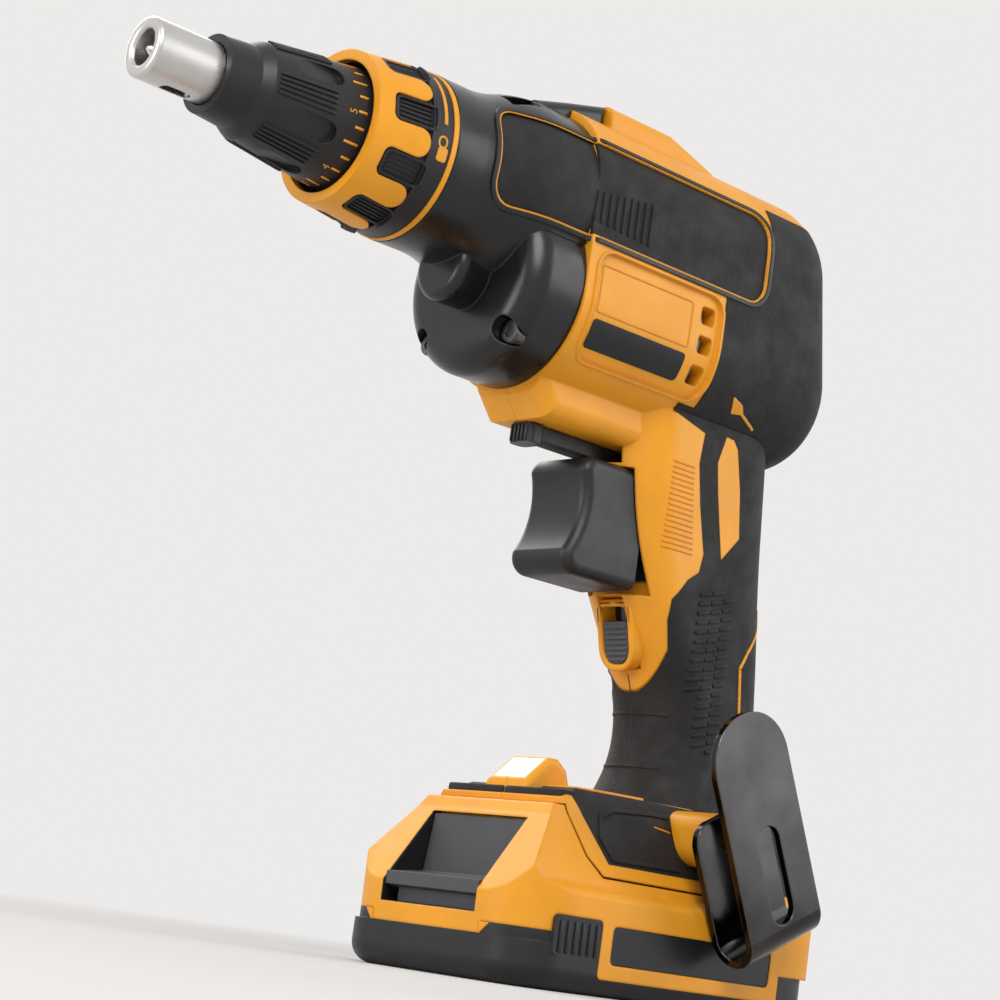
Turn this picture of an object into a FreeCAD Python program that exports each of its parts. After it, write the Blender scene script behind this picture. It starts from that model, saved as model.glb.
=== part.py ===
import FreeCAD
import Part
import Sketcher
import os
import re
from math import atan2, pi

# Cordless drywall screwdriver: nose towards -X, +Z up, origin at the middle of the battery pack's base.

DOC = FreeCAD.newDocument("DrywallScrewdriver")
DIMS = DOC.addObject("Spreadsheet::Sheet", "Dims")
ALIASES = []
NODES = {}
FORMS = {}


def size(alias, number):
    ALIASES.append(alias)
    row = len(ALIASES)
    DIMS.set("A%d" % row, alias)
    DIMS.set("B%d" % row, str(number))
    DIMS.setAlias("B%d" % row, alias)


# Driving sizes, in millimetres
SIZES = {
    # fits
    "play": 0.3,
    "snug": 0.05,
    # gearing
    "pinion_teeth": 12,
    "gear_teeth": 49,
    "gear_module": 0.8,
    # nose tip and depth sleeve
    "tip_reach": 19.5,
    "tip_length": 36,
    "tip_radius": 8,
    "tip_bore": 4.7,
    "tip_mouth": 8,
    "tip_back_bore": 6.6,
    "tip_flange_radius": 9.6,
    "tip_flange_width": 4.5,
    "depth_travel": 2.5,
    "sleeve_length": 41,
    "sleeve_front_radius": 10.5,
    "sleeve_back_radius": 16.75,
    "flute_count": 6,
    "flute_width": 6,
    "core_reach": 11.5,
    "core_radius": 12.5,
    "core_bore": 7.2,
    "core_shoulder_radius": 16,
    "core_shoulder_width": 3.5,
    # lock collar
    "collar_length": 25,
    "crown_skin": 1,
    "crown_rim": 4.5,
    "crown_length": 16.5,
    "collar_ring_width": 1.6,
    "finger_count": 9,
    "finger_gap": 8,
    "finger_rounding": 3.6,
    # gear case
    "barrel_overhang": 57,
    "spigot_length": 18,
    "case_wall": 6.4,
    "case_swell": 4.6,
    "dome_length": 19,
    "dome_wall": 2.7,
    "boss_length": 10.5,
    "boss_radius": 10,
    "chamber_gap": 1.6,
    "plate_thickness": 6,
    "case_screw_radius": 1.9,
    "wedge_length": 14,
    "wedge_half": 11.5,
    # spindle and clutch
    "spindle_reach": 24,
    "spindle_radius": 5,
    "spindle_travel": 2.4,
    "flange_width": 3,
    "flange_radius": 13,
    "clutch_gap": 7,
    "dog_height": 2,
    "gear_width": 10,
    "bearing_width": 6,
    "bearing_wall": 8.5,
    "bearing_radius": 12,
    "bearing_ring_radius": 7.4,
    "holder_radius": 5.9,
    "bit_hex": 6.35,
    "bit_length": 25,
    "bit_recess": 1.5,
    # motor
    "shaft_radius": 2.5,
    "small_bearing_radius": 6.5,
    "small_bearing_width": 4.5,
    "fan_width": 7,
    "fan_blades": 11,
    "stator_length": 32,
    "stator_radius": 24.5,
    "rotor_radius": 12,
    "air_gap": 0.6,
    "board_thickness": 1.6,
    # housing
    "shell_length": 112,
    "shell_rise": 30,
    "shell_lean": 14,
    "shell_rounding": 15,
    "shell_cover": 0.4,
    "hump_height": 4.5,
    "hump_half": 13.5,
    "neck_half": 14,
    "badge_depth": 0.8,
    "pad_recess": 1.6,
    "pad_thickness": 1,
    "overmould": 2,
    # handle, in even steps from the foot up to the motor
    "handle_step": 22,
    "neck_sink": 9,
    "neck_front": -24,
    "neck_back": 40,
    "neck_width": 38,
    "trigger_front": -20,
    "trigger_back": 43,
    "trigger_width": 35.5,
    "palm_front": -14,
    "palm_back": 45.5,
    "palm_width": 33.5,
    "slide_front": -2,
    "slide_back": 48.5,
    "slide_width": 33,
    "waist_front": 8,
    "waist_back": 51,
    "waist_width": 33,
    "flare_front": 5,
    "flare_back": 54,
    "flare_width": 38,
    # controls
    "trigger_half": 12.2,
    "trigger_tip": -35,
    "trigger_tail": -9.5,
    "trigger_travel": 7,
    "lever_half": 3.5,
    "lever_height": 4,
    "lever_tip": -49.5,
    "lever_pivot": -10,
    "slider_half": 4.9,
    "slider_height": 13,
    "slider_travel": 3.5,
    "slider_depth": 4.5,
    # foot
    "foot_front": -37,
    "foot_back": 58.5,
    "foot_gap": 0.5,
    "foot_height": 24.1,
    "taper_in": 12,
    "lamp_half": 8.5,
    "rail_height": 9.4,
    "channel_back": 50,
    "tower_back": 30,
    # belt hook
    "hook_x": 12.5,
    "hook_tilt": -27,
    "hook_width": 29,
    "hook_sheet": 2,
    "hook_gap": 10.5,
    "hook_drop": 31,
    "hook_rise": 36,
    "hook_pad": 1,
    "insert_radius": 3.5,
    "insert_length": 10,
    "hook_screw_radius": 1.6,
    # battery pack
    "pack_front": -58,
    "pack_back": 58,
    "pack_side": 6,
    "pack_wall": 3,
    "tray_floor": 2.5,
    "holder_floor": 1.4,
    "roof_rise": 8.3,
    "hood_front": -43,
    "cell_radius": 9.1,
    "cell_length": 65,
    "cell_pitch": 18.4,
    "cell_first": -30,
    "latch_travel": 3.5,
    "plate_sheet": 0.8,
}

# Places and sizes that follow from the driving ones
FOLLOWING = {
    # radii
    "chamber_radius": "gear_teeth*gear_module/2 + 0.6 + chamber_gap",
    "case_back_radius": "chamber_radius + case_wall",
    "case_nose_radius": "case_back_radius - case_swell",
    "collar_ring_radius": "case_nose_radius - 0.1",
    "collar_band_radius": "case_nose_radius - 0.6",
    "collar_front_radius": "collar_band_radius - 2",
    "spigot_radius": "collar_front_radius - 3.1",
    "dome_radius": "stator_radius + dome_wall",
    "fan_radius": "stator_radius - 2.5",
    # along the barrel, from the back of the gear case
    "case_back": "-barrel_overhang",
    "plate_front": "case_back - plate_thickness - 1",
    "gear_front": "plate_front - gear_width - 3",
    "flange_front": "gear_front - clutch_gap - flange_width",
    "chamber_front": "flange_front - 1",
    "bearing_front": "chamber_front - bearing_wall - bearing_width",
    "case_front": "bearing_front - 1.5",
    "spigot_front": "case_front - spigot_length",
    "collar_front": "case_front - collar_length",
    "core_front": "collar_front - core_reach",
    "sleeve_front": "collar_front + 2 - sleeve_length",
    "tip_front": "sleeve_front - tip_reach",
    "spindle_front": "case_front - spindle_reach",
    "spindle_back": "case_back",
    "holder_length": "spindle_front - tip_front - 17.5",
    "dome_front": "case_back - dome_length",
    "boss_front": "dome_front - boss_length",
    "shaft_front": "boss_front + 3",
    "fan_front": "case_back + 6",
    "stator_front": "fan_front + fan_width + 4",
    "shaft_back": "stator_front + stator_length + 14",
    "shell_back": "case_back + shell_length",
    # upwards from the base
    "cell_z": "tray_floor + holder_floor + cell_radius",
    "pack_split": "cell_z - 1",
    "pack_ear": "pack_split + 7.5",
    "pack_shoulder": "cell_z + cell_radius + roof_rise",
    "foot_low": "pack_shoulder + foot_gap",
    "foot_top": "foot_low + foot_height",
    "taper_z": "pack_shoulder - 8.4",
    "taper_top": "foot_top - 9",
    "hood_top": "foot_top - 7",
    "rail_low": "foot_low + 4.7",
    "rail_top": "rail_low + rail_height",
    "hook_z": "rail_top + 1.5",
    "flare_z": "foot_top + 3",
    "waist_z": "flare_z + handle_step",
    "slide_z": "waist_z + handle_step",
    "palm_z": "slide_z + handle_step",
    "trigger_z": "palm_z + handle_step",
    "neck_z": "trigger_z + handle_step",
    "slider_low": "slide_z - 9.5",
    "trigger_low": "slider_low + slider_height + slider_travel + 3",
    "trigger_high": "trigger_z",
    "lever_low": "trigger_high + 1.6",
    "spindle_z": "neck_z - neck_sink + shell_cover + dome_radius + (pinion_teeth + gear_teeth)*gear_module/2",
    "shell_top": "spindle_z + shell_rise",
    # across
    "shell_half": "case_back_radius - 0.4",
    "pack_half": "cell_length/2 + pack_side",
    "rail_head_half": "pack_half - 17",
    "rail_neck_half": "rail_head_half - 3.5",
    "blade_pitch": "rail_neck_half*4/9",
    "deck_half": "pack_half - 20.5",
    "latch_half": "pack_half - 19.5",
}
for alias, number in SIZES.items():
    size(alias, number)
DOC.recompute()

MOTOR_Z = "(spindle_z - (pinion_teeth + gear_teeth)*gear_module/2)"
TIP_BACK = "(tip_front + tip_length)"
SLEEVE_BACK = "(sleeve_front + sleeve_length)"
COLLAR_BACK = "(case_front - play)"
COLLAR_BORE = "(spigot_radius + play)"
CROWN_BACK = "(collar_front + crown_length)"
BEARING_BACK = "(bearing_front + bearing_width)"
PLATE_BACK = "(plate_front + plate_thickness)"
FLANGE_BACK = "(flange_front + flange_width)"
STATOR_BACK = "(stator_front + stator_length)"
BOARD_FRONT = "(stator_front + stator_length + 2)"
REAR_BEARING = "(stator_front + stator_length + 6)"
SHELL_FLOOR = "(%s - dome_radius - shell_cover)" % MOTOR_Z
HOOK_FACE = "(pack_half + hook_pad)"
LATCH_BACK = "(cell_first - cell_radius - 2.7)"
PLATE_RADIUS = "(dome_radius - 3.4)"
WEDGE_LOW = "(spindle_z + case_back_radius - 6.2)"


# Expression helpers
def bind(text):
    def spell_out(match):
        word = match.group(0)
        if word in FOLLOWING:
            return "(%s)" % bind(FOLLOWING[word])
        return "Dims." + word if word in ALIASES else word
    return re.sub(r"[a-z][a-z_0-9]*", spell_out, str(text))


def value(text):
    return float(DIMS.evalExpression(bind(text)))


# Sketch helpers
def fix(sketch, kind, geo, pos, text):
    n = sketch.addConstraint(Sketcher.Constraint(kind, -1, 1, geo, pos, value(text)))
    sketch.setExpression("Constraints[%d]" % n, bind(text))


# A corner may carry a third value: the radius of an arc to the next corner, negative to turn right
def edge_between(start, end, corner):
    if len(corner) < 3:
        return Part.LineSegment(start, end)
    radius = value(corner[2])
    half = (end - start) * 0.5
    left = FreeCAD.Vector(-half.y, half.x, 0).normalize()
    reach = (radius ** 2 - half.Length ** 2) ** 0.5
    centre = start + half + left * (reach if radius > 0 else -reach)
    angles = [atan2(p.y - centre.y, p.x - centre.x) for p in (start, end)]
    if radius < 0:
        angles.reverse()
    if angles[1] < angles[0]:
        angles[1] += 2 * pi
    return Part.ArcOfCircle(Part.Circle(centre, FreeCAD.Vector(0, 0, 1), abs(radius)), angles[0], angles[1])


def draw_polygon(sketch, corners):
    points = [FreeCAD.Vector(value(c[0]), value(c[1]), 0) for c in corners]
    first = sketch.GeometryCount
    count = len(points)
    begins = [2 if len(c) > 2 and value(c[2]) < 0 else 1 for c in corners]
    for i in range(count):
        sketch.addGeometry(edge_between(points[i], points[(i + 1) % count], corners[i]))
    for i in range(count):
        after = (i + 1) % count
        sketch.addConstraint(Sketcher.Constraint("Coincident", first + i, 3 - begins[i], first + after,
                begins[after]))
    for i in range(count):
        fix(sketch, "DistanceX", first + i, begins[i], corners[i][0])
        fix(sketch, "DistanceY", first + i, begins[i], corners[i][1])
        if len(corners[i]) > 2:
            n = sketch.addConstraint(Sketcher.Constraint("Radius", first + i, abs(value(corners[i][2]))))
            sketch.setExpression("Constraints[%d]" % n, bind("abs(%s)" % corners[i][2]))


def draw_disc(sketch, u, v, radius):
    circle = Part.Circle(FreeCAD.Vector(value(u), value(v), 0), FreeCAD.Vector(0, 0, 1), value(radius))
    geo = sketch.addGeometry(circle)
    fix(sketch, "DistanceX", geo, 3, u)
    fix(sketch, "DistanceY", geo, 3, v)
    n = sketch.addConstraint(Sketcher.Constraint("Radius", geo, value(radius)))
    sketch.setExpression("Constraints[%d]" % n, bind(radius))


def draw_rounded(sketch, low_u, high_u, low_v, high_v, radius):
    u0, u1, v0, v1, r = [value(t) for t in (low_u, high_u, low_v, high_v, radius)]
    first = sketch.GeometryCount
    ends = [(u0 + r, v0, u1 - r, v0), (u1, v0 + r, u1, v1 - r), (u1 - r, v1, u0 + r, v1),
            (u0, v1 - r, u0, v0 + r)]
    centres = [(u1 - r, v0 + r), (u1 - r, v1 - r), (u0 + r, v1 - r), (u0 + r, v0 + r)]
    for a, b, c, d in ends:
        sketch.addGeometry(Part.LineSegment(FreeCAD.Vector(a, b, 0), FreeCAD.Vector(c, d, 0)))
    for i in range(4):
        circle = Part.Circle(FreeCAD.Vector(centres[i][0], centres[i][1], 0), FreeCAD.Vector(0, 0, 1), r)
        sketch.addGeometry(Part.ArcOfCircle(circle, (i - 1) * pi / 2, i * pi / 2))
    for i in range(4):
        sketch.addConstraint(Sketcher.Constraint("Tangent", first + i, 2, first + 4 + i, 1))
        sketch.addConstraint(Sketcher.Constraint("Tangent", first + 4 + i, 2, first + (i + 1) % 4, 1))
        sketch.addConstraint(Sketcher.Constraint("Vertical" if i % 2 else "Horizontal", first + i))
    for i in range(1, 4):
        sketch.addConstraint(Sketcher.Constraint("Equal", first + 4, first + 4 + i))
    n = sketch.addConstraint(Sketcher.Constraint("Radius", first + 4, r))
    sketch.setExpression("Constraints[%d]" % n, bind(radius))
    fix(sketch, "DistanceY", first, 1, low_v)
    fix(sketch, "DistanceX", first + 1, 1, high_u)
    fix(sketch, "DistanceY", first + 2, 1, high_v)
    fix(sketch, "DistanceX", first + 3, 1, low_u)


def new_sketch(body, plane, up, offset):
    sketch = body.newObject("Sketcher::SketchObject", "Outline")
    support = [f for f in body.Origin.OriginFeatures if f.Role == plane + "_Plane"][0]
    sketch.AttachmentSupport = [(support, "")]
    sketch.MapMode = "FlatFace"
    sketch.setExpression("AttachmentOffset.Base.y", bind(up))
    sketch.setExpression("AttachmentOffset.Base.z", bind(offset))
    return sketch


def draw(sketch, outline):
    kind = outline[0]
    if kind == "disc":
        draw_disc(sketch, *outline[1:])
    elif kind == "rounded":
        draw_rounded(sketch, *outline[1:])
    else:
        draw_polygon(sketch, outline[1:])


# Solid helpers
def new_body(label):
    body = DOC.addObject("PartDesign::Body", label)
    body.Label = label
    return body


def pad(body, plane, low, high, *outlines):
    sketch = new_sketch(body, plane, "0", "-(%s)" % high if plane == "XZ" else low)
    for outline in outlines:
        draw(sketch, outline)
    feature = body.newObject("PartDesign::Pad", "Pad")
    feature.Profile = sketch
    feature.setExpression("Length", bind("(%s) - (%s)" % (high, low)))
    body.Tip = feature
    return feature


def prism(label, plane, low, high, *outlines):
    body = new_body(label)
    pad(body, plane, low, high, *outlines)
    return body


def turned(label, axis_z, corners):
    body = new_body(label)
    sketch = new_sketch(body, "XZ", axis_z, "0")
    draw_polygon(sketch, corners)
    feature = body.newObject("PartDesign::Revolution", "Turn")
    feature.Profile = sketch
    feature.ReferenceAxis = (sketch, ["H_Axis"])
    feature.Angle = 360
    body.Tip = feature
    return body


def tube(label, axis_z, front, back, bore, radius):
    return turned(label, axis_z, [(front, bore), (back, bore), (back, radius), (front, radius)])


def rod(label, axis_z, front, back, radius):
    return tube(label, axis_z, front, back, "0", radius)


def lofted(label, plane, sections):
    body = new_body(label)
    sketches = []
    for offset, outline in sections:
        sketch = new_sketch(body, plane, "0", offset)
        draw(sketch, outline)
        sketches.append(sketch)
    feature = body.newObject("PartDesign::AdditiveLoft", "Loft")
    feature.Profile = sketches[0]
    feature.Sections = sketches[1:]
    body.Tip = feature
    return body


def round_edges(body, radius, pick):
    DOC.recompute()
    base = body.Tip
    names = ["Edge%d" % (i + 1) for i, e in enumerate(base.Shape.Edges) if pick(e)]
    feature = body.newObject("PartDesign::Fillet", "Round")
    feature.Base = (base, names)
    feature.setExpression("Radius", bind(radius))
    body.Tip = feature
    return body


def repeat_round(body, feature, axis_sketch, count):
    pattern = body.newObject("PartDesign::PolarPattern", "Ring")
    pattern.Originals = [feature]
    pattern.Axis = (axis_sketch, ["H_Axis"])
    pattern.Angle = 360
    pattern.setExpression("Occurrences", bind(count))
    body.Tip = pattern
    return pattern


def cut(label, base, *tools):
    tool = tools[0] if len(tools) == 1 else fuse(label + "_tools", *tools)
    result = DOC.addObject("Part::Cut", label)
    result.Label = label
    result.Base = base
    result.Tool = tool
    return result


def fuse(label, *shapes):
    result = DOC.addObject("Part::MultiFuse", label)
    result.Label = label
    result.Shapes = list(shapes)
    return result


def common(label, *shapes):
    result = DOC.addObject("Part::MultiCommon", label)
    result.Label = label
    result.Shapes = list(shapes)
    return result


def group(label, members):
    result = DOC.addObject("Part::Compound", label)
    result.Label = label
    result.Links = members
    return result


def node(name, shape):
    shape.Label = name
    NODES[name] = shape
    return shape


# A form that several pieces share is made once for each inset
def shared(make):
    def get(inset):
        key = make.__name__ + " " + inset
        if key not in FORMS:
            FORMS[key] = make(make.__name__, inset)
        return FORMS[key]
    return get


# Nose tip: thick-walled guide tube with a flange and a slot below
def make_nose_tip():
    tip = turned("tip_tube", "spindle_z", [
        ("tip_front", "tip_bore"),
        ("tip_front + tip_mouth", "tip_bore"),
        ("tip_front + tip_mouth", "tip_back_bore"),
        (TIP_BACK, "tip_back_bore"),
        (TIP_BACK, "tip_flange_radius"),
        (TIP_BACK + " - tip_flange_width", "tip_flange_radius"),
        (TIP_BACK + " - tip_flange_width", "tip_radius"),
        ("tip_front", "tip_radius"),
    ])
    round_edges(tip, "1.2", lambda e: abs(e.CenterOfMass.x - value("tip_front")) < 0.01)
    slot = prism("tip_slot", "XY", "spindle_z - tip_radius - 1", "spindle_z - tip_bore + 1.2",
                 ("rounded", "tip_front + 7", "tip_front + 15.5", "-1.8", "1.8", "1.75"))
    node("nose_tip", cut("nose_tip", tip, slot))


# Depth sleeve: tapered grip that screws the tip in and out
def make_depth_sleeve():
    cavity_front = TIP_BACK + " - tip_flange_width - depth_travel - play"
    sleeve = turned("sleeve_cone", "spindle_z", [
        ("sleeve_front", "tip_radius + play"),
        (cavity_front, "tip_radius + play"),
        (cavity_front, "tip_flange_radius + play"),
        ("core_front - play", "tip_flange_radius + play"),
        ("core_front - play", "core_radius + play"),
        (SLEEVE_BACK, "core_radius + play"),
        (SLEEVE_BACK, "sleeve_back_radius"),
        ("sleeve_front + 12", "sleeve_front_radius + 2.6"),
        ("sleeve_front + 9", "sleeve_front_radius + 0.8"),
        ("sleeve_front", "sleeve_front_radius"),
    ])
    axis = sleeve.Tip.Profile[0]
    outline = new_sketch(sleeve, "XY", "0", "spindle_z + 30")
    draw_rounded(outline, "sleeve_front + 14", SLEEVE_BACK + " - 9", "-flute_width/2", "flute_width/2",
            "flute_width/2 - 0.1")
    pocket = sleeve.newObject("PartDesign::Pocket", "Flute")
    pocket.Profile = outline
    pocket.setExpression("Length", bind("30 - sleeve_front_radius - 3.4"))
    sleeve.Tip = pocket
    repeat_round(sleeve, pocket, axis, "flute_count")
    node("depth_sleeve", sleeve)


# Nose core: carrier that plugs into the gear case and guides the sleeve
def make_nose_core():
    node("nose_core", turned("nose_core", "spindle_z", [
        ("core_front", "core_bore"),
        ("case_front - 2", "core_bore"),
        ("case_front - 2", "core_radius"),
        ("spigot_front", "core_radius"),
        ("spigot_front", "core_shoulder_radius"),
        ("spigot_front - core_shoulder_width", "core_shoulder_radius"),
        ("spigot_front - core_shoulder_width", "core_radius"),
        ("core_front", "core_radius"),
    ]))


# Lock collar: black collar, fingered cover and rear ring
def make_lock_collar():
    rise = "(collar_band_radius - collar_front_radius)"
    inner_front = "collar_front_radius - crown_skin"
    inner_back = "collar_band_radius - crown_skin"
    ring_front = COLLAR_BACK + " - collar_ring_width"
    node("lock_collar", turned("lock_collar", "spindle_z", [
        ("collar_front + crown_rim/2", COLLAR_BORE),
        (ring_front, COLLAR_BORE),
        (ring_front, "collar_band_radius + 0.2"),
        (CROWN_BACK, "collar_band_radius"),
        (CROWN_BACK, inner_back),
        ("collar_front + crown_rim/2", inner_front + " + %s*crown_rim/2/crown_length" % rise),
    ]))
    crown = turned("crown_cover", "spindle_z", [
        ("collar_front", COLLAR_BORE),
        ("collar_front + crown_rim/2", COLLAR_BORE),
        ("collar_front + crown_rim/2", inner_front + " + %s*crown_rim/2/crown_length" % rise),
        (CROWN_BACK, inner_back),
        (CROWN_BACK, "collar_band_radius"),
        ("collar_front", "collar_front_radius"),
    ])
    axis = crown.Tip.Profile[0]
    outline = new_sketch(crown, "XY", "0", "spindle_z + collar_band_radius + 5")
    front = "collar_front + crown_rim"
    turn = CROWN_BACK + " - finger_rounding"
    wide = "finger_gap/2 + finger_rounding"
    draw_polygon(outline, [
        (front, "finger_gap/2 - 2.2", "-2.2"), (front + " + 2.2", "finger_gap/2"),
        (turn, "finger_gap/2", "finger_rounding"),
        (CROWN_BACK, wide), (CROWN_BACK + " + 6", wide), (CROWN_BACK + " + 6", "-(%s)" % wide),
        (CROWN_BACK, "-(%s)" % wide, "finger_rounding"), (turn, "-finger_gap/2"),
        (front + " + 2.2", "-finger_gap/2", "-2.2"),
        (front, "2.2 - finger_gap/2")])
    pocket = crown.newObject("PartDesign::Pocket", "Gap")
    pocket.Profile = outline
    pocket.setExpression("Length", bind("collar_band_radius + 5 - 14"))
    crown.Tip = pocket
    repeat_round(crown, pocket, axis, "finger_count")
    node("collar_crown", crown)
    node("collar_ring", tube("collar_ring", "spindle_z", ring_front, COLLAR_BACK, COLLAR_BORE,
            "collar_ring_radius"))


# Gear case: barrel, dome round the motor axis and bearing boss
@shared
def case_barrel(label, inset):
    rise = "(case_back_radius - case_nose_radius)"
    bend = "(169 + %s^2/4)/%s" % (rise, rise)
    middle = "(case_nose_radius + case_back_radius)/2 - %s" % inset
    return turned(label, "spindle_z", [
        ("case_front", "0"),
        ("case_front", "case_nose_radius - %s" % inset),
        ("case_front + 10", "case_nose_radius - %s" % inset, bend),
        ("case_front + 23", middle, "-(%s)" % bend),
        ("case_front + 36", "case_back_radius - %s" % inset),
        ("case_back", "case_back_radius - %s" % inset),
        ("case_back", "0"),
    ])


def make_gear_case():
    spigot = rod("case_spigot", "spindle_z", "spigot_front", "case_front + 1", "spigot_radius")
    barrel = case_barrel("0")
    dome = rod("case_dome", MOTOR_Z, "dome_front", "case_back", "dome_radius")
    round_edges(dome, "7", lambda e: abs(e.CenterOfMass.x - value("dome_front")) < 0.01)
    boss = rod("case_boss", MOTOR_Z, "boss_front", "dome_front + 1", "boss_radius")
    round_edges(boss, "2.5", lambda e: abs(e.CenterOfMass.x - value("boss_front")) < 0.01)
    spindle_bore = turned("case_spindle_bore", "spindle_z", [
        ("spigot_front - 1", "0"),
        ("spigot_front - 1", "core_radius + snug"),
        ("bearing_front", "core_radius + snug"),
        ("bearing_front", "bearing_radius + snug"),
        (BEARING_BACK, "bearing_radius + snug"),
        (BEARING_BACK, "bearing_radius - 2.5"),
        ("chamber_front", "bearing_radius - 2.5"),
        ("chamber_front", "chamber_radius"),
        ("case_back + 1", "chamber_radius"),
        ("case_back + 1", "0"),
    ])
    motor_bore = turned("case_motor_bore", MOTOR_Z, [
        ("shaft_front - 1", "0"),
        ("shaft_front - 1", "small_bearing_radius - 1.5 + snug"),
        ("gear_front - 2", "small_bearing_radius - 1.5 + snug"),
        ("gear_front - 2", "small_bearing_radius + 1"),
        ("plate_front", "small_bearing_radius + 1"),
        ("plate_front", PLATE_RADIUS + " + snug"),
        ("case_back + 1", PLATE_RADIUS + " + snug"),
        ("case_back + 1", "0"),
    ])
    seats = []
    for y, z in case_screw_places():
        seats.append(prism("case_screw_seat", "YZ", "dome_front - 6", "case_back - 12", ("disc", y, z, "3.6")))
        seats.append(prism("case_screw_hole", "YZ", "case_back - 13", "case_back + 1",
                           ("disc", y, z, "case_screw_radius + snug")))
    wedge = prism("case_wedge", "XZ", "-wedge_half", "wedge_half", (
        "polygon", ("case_back - 12", WEDGE_LOW), ("case_back", WEDGE_LOW), ("case_back", "shell_top - 3"),
        ("case_back + wedge_length", "shell_top - 3"), ("case_back + wedge_length", "shell_top + hump_height"),
        ("case_back", "shell_top + 0.8"), ("case_back - 12", "shell_top - 2.6")))
    round_edges(wedge, "3", lambda e: abs(abs(e.CenterOfMass.y) - value("wedge_half")) < 0.01
                and e.CenterOfMass.z > value("shell_top - 1.5"))
    shape = fuse("case_outer", spigot, barrel, dome, boss, wedge)
    node("gear_case", cut("gear_case", shape, spindle_bore, motor_bore, *(seats + pad_recesses("case"))))


def case_screw_places():
    lower = MOTOR_Z + " - 17"
    upper = "spindle_z + 21.5"
    return [("-17", lower), ("17", lower), ("-13", upper), ("13", upper)]


def make_case_screws():
    members = []
    for y, z in case_screw_places():
        screw = prism("case_screw", "YZ", "case_back - 12", "case_back + 8",
                ("disc", y, z, "case_screw_radius"))
        pad(screw, "YZ", "case_back - 15", "case_back - 12", ("disc", y, z, "3.2"))
        members.append(screw)
    node("gear_case_screws", group("gear_case_screws", members))


# Soft side pads let into the case and the housing
def pad_region(label, sign):
    low, high = ("-40", "0") if sign < 0 else ("0", "40")
    return prism(label, "XZ", low, high, (
        "rounded", "case_front + 14.5", "shell_back - 43", "spindle_z - 10.5", "spindle_z + 16", "6"))


def pad_recesses(owner):
    recesses = []
    for sign in (-1, 1):
        region = pad_region("pad_region", sign)
        inside = case_barrel("pad_recess") if owner == "case" else shell_form("pad_recess")
        recesses.append(cut("pad_pocket", region, inside))
    return recesses


def make_side_pads():
    for name, sign in (("side_pad_left", -1), ("side_pad_right", 1)):
        skin = "pad_recess - pad_thickness"
        outer = fuse("pad_outer", case_barrel("(%s)" % skin), shell_form("(%s)" % skin))
        inner = fuse("pad_inner", case_barrel("pad_recess"), shell_form("pad_recess"))
        node(name, cut(name, common("pad_blank", pad_region("pad_edge", sign), outer), inner))


# Gear plate between gears and motor, with its bearings
def make_gear_plate():
    upper = rod("plate_upper", "spindle_z", "plate_front", PLATE_BACK, "chamber_radius - snug")
    lower = rod("plate_lower", MOTOR_Z, "plate_front", PLATE_BACK, PLATE_RADIUS)
    bore = turned("plate_bore", MOTOR_Z, [
        ("plate_front - 1", "0"),
        ("plate_front - 1", "small_bearing_radius - 1"),
        (PLATE_BACK + " - small_bearing_width", "small_bearing_radius - 1"),
        (PLATE_BACK + " - small_bearing_width", "small_bearing_radius + snug"),
        (PLATE_BACK + " + 1", "small_bearing_radius + snug"),
        (PLATE_BACK + " + 1", "0"),
    ])
    bush_hole = rod("plate_bush_hole", "spindle_z", "plate_front - 1", PLATE_BACK + " + 1",
            "spindle_radius + 2 + snug")
    notches = [prism("plate_notch", "YZ", "plate_front - 1", PLATE_BACK + " + 1",
            ("disc", y, z, "case_screw_radius + play"))
               for y, z in case_screw_places()]
    node("gear_plate", cut("gear_plate", fuse("plate_blank", upper, lower), bore, bush_hole, *notches))
    node("spindle_bush", tube("spindle_bush", "spindle_z", "plate_front", PLATE_BACK, "spindle_radius + snug",
                              "spindle_radius + 2"))
    node("motor_bearing_front", tube("motor_bearing_front", MOTOR_Z, PLATE_BACK + " - small_bearing_width",
            PLATE_BACK,
                                     "shaft_radius + snug", "small_bearing_radius"))
    node("motor_bearing_rear", tube("motor_bearing_rear", MOTOR_Z, REAR_BEARING,
            REAR_BEARING + " + small_bearing_width",
                                    "shaft_radius + snug", "small_bearing_radius"))
    node("pinion_bush", tube("pinion_bush", MOTOR_Z, "shaft_front - 1", "gear_front - 2", "shaft_radius + snug",
                             "small_bearing_radius - 1.5"))
    node("spindle_bearing", tube("spindle_bearing", "spindle_z", "bearing_front", BEARING_BACK,
                                 "bearing_ring_radius + snug", "bearing_radius"))
    node("spindle_sleeve", tube("spindle_sleeve", "spindle_z", "bearing_front", BEARING_BACK,
            "spindle_radius + snug",
                                "bearing_ring_radius"))


# Toothed wheels: root disc, one tooth and its ring pattern
def toothed(label, axis_z, front, back, teeth, bore):
    pitch = "(%s*gear_module/2)" % teeth
    wheel = tube(label, axis_z, front, back, bore, pitch + " - 0.9")
    axis = wheel.Tip.Profile[0]
    tooth = pad(wheel, "YZ", front, back, (
        "polygon",
        ("-0.74", "%s + %s - 1.2" % (axis_z, pitch)),
        ("0.74", "%s + %s - 1.2" % (axis_z, pitch)),
        ("0.3", "%s + %s + 0.6" % (axis_z, pitch)),
        ("-0.3", "%s + %s + 0.6" % (axis_z, pitch)),
    ))
    repeat_round(wheel, tooth, axis, teeth)
    return wheel


def add_dogs(wheel, axis, low, high, direction):
    dog = pad(wheel, "YZ", low, high, (
        "rounded", "-3", "3", "spindle_z + 8.5*%d - 2" % direction, "spindle_z + 8.5*%d + 2" % direction, "1"))
    repeat_round(wheel, dog, axis, "3")


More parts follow.
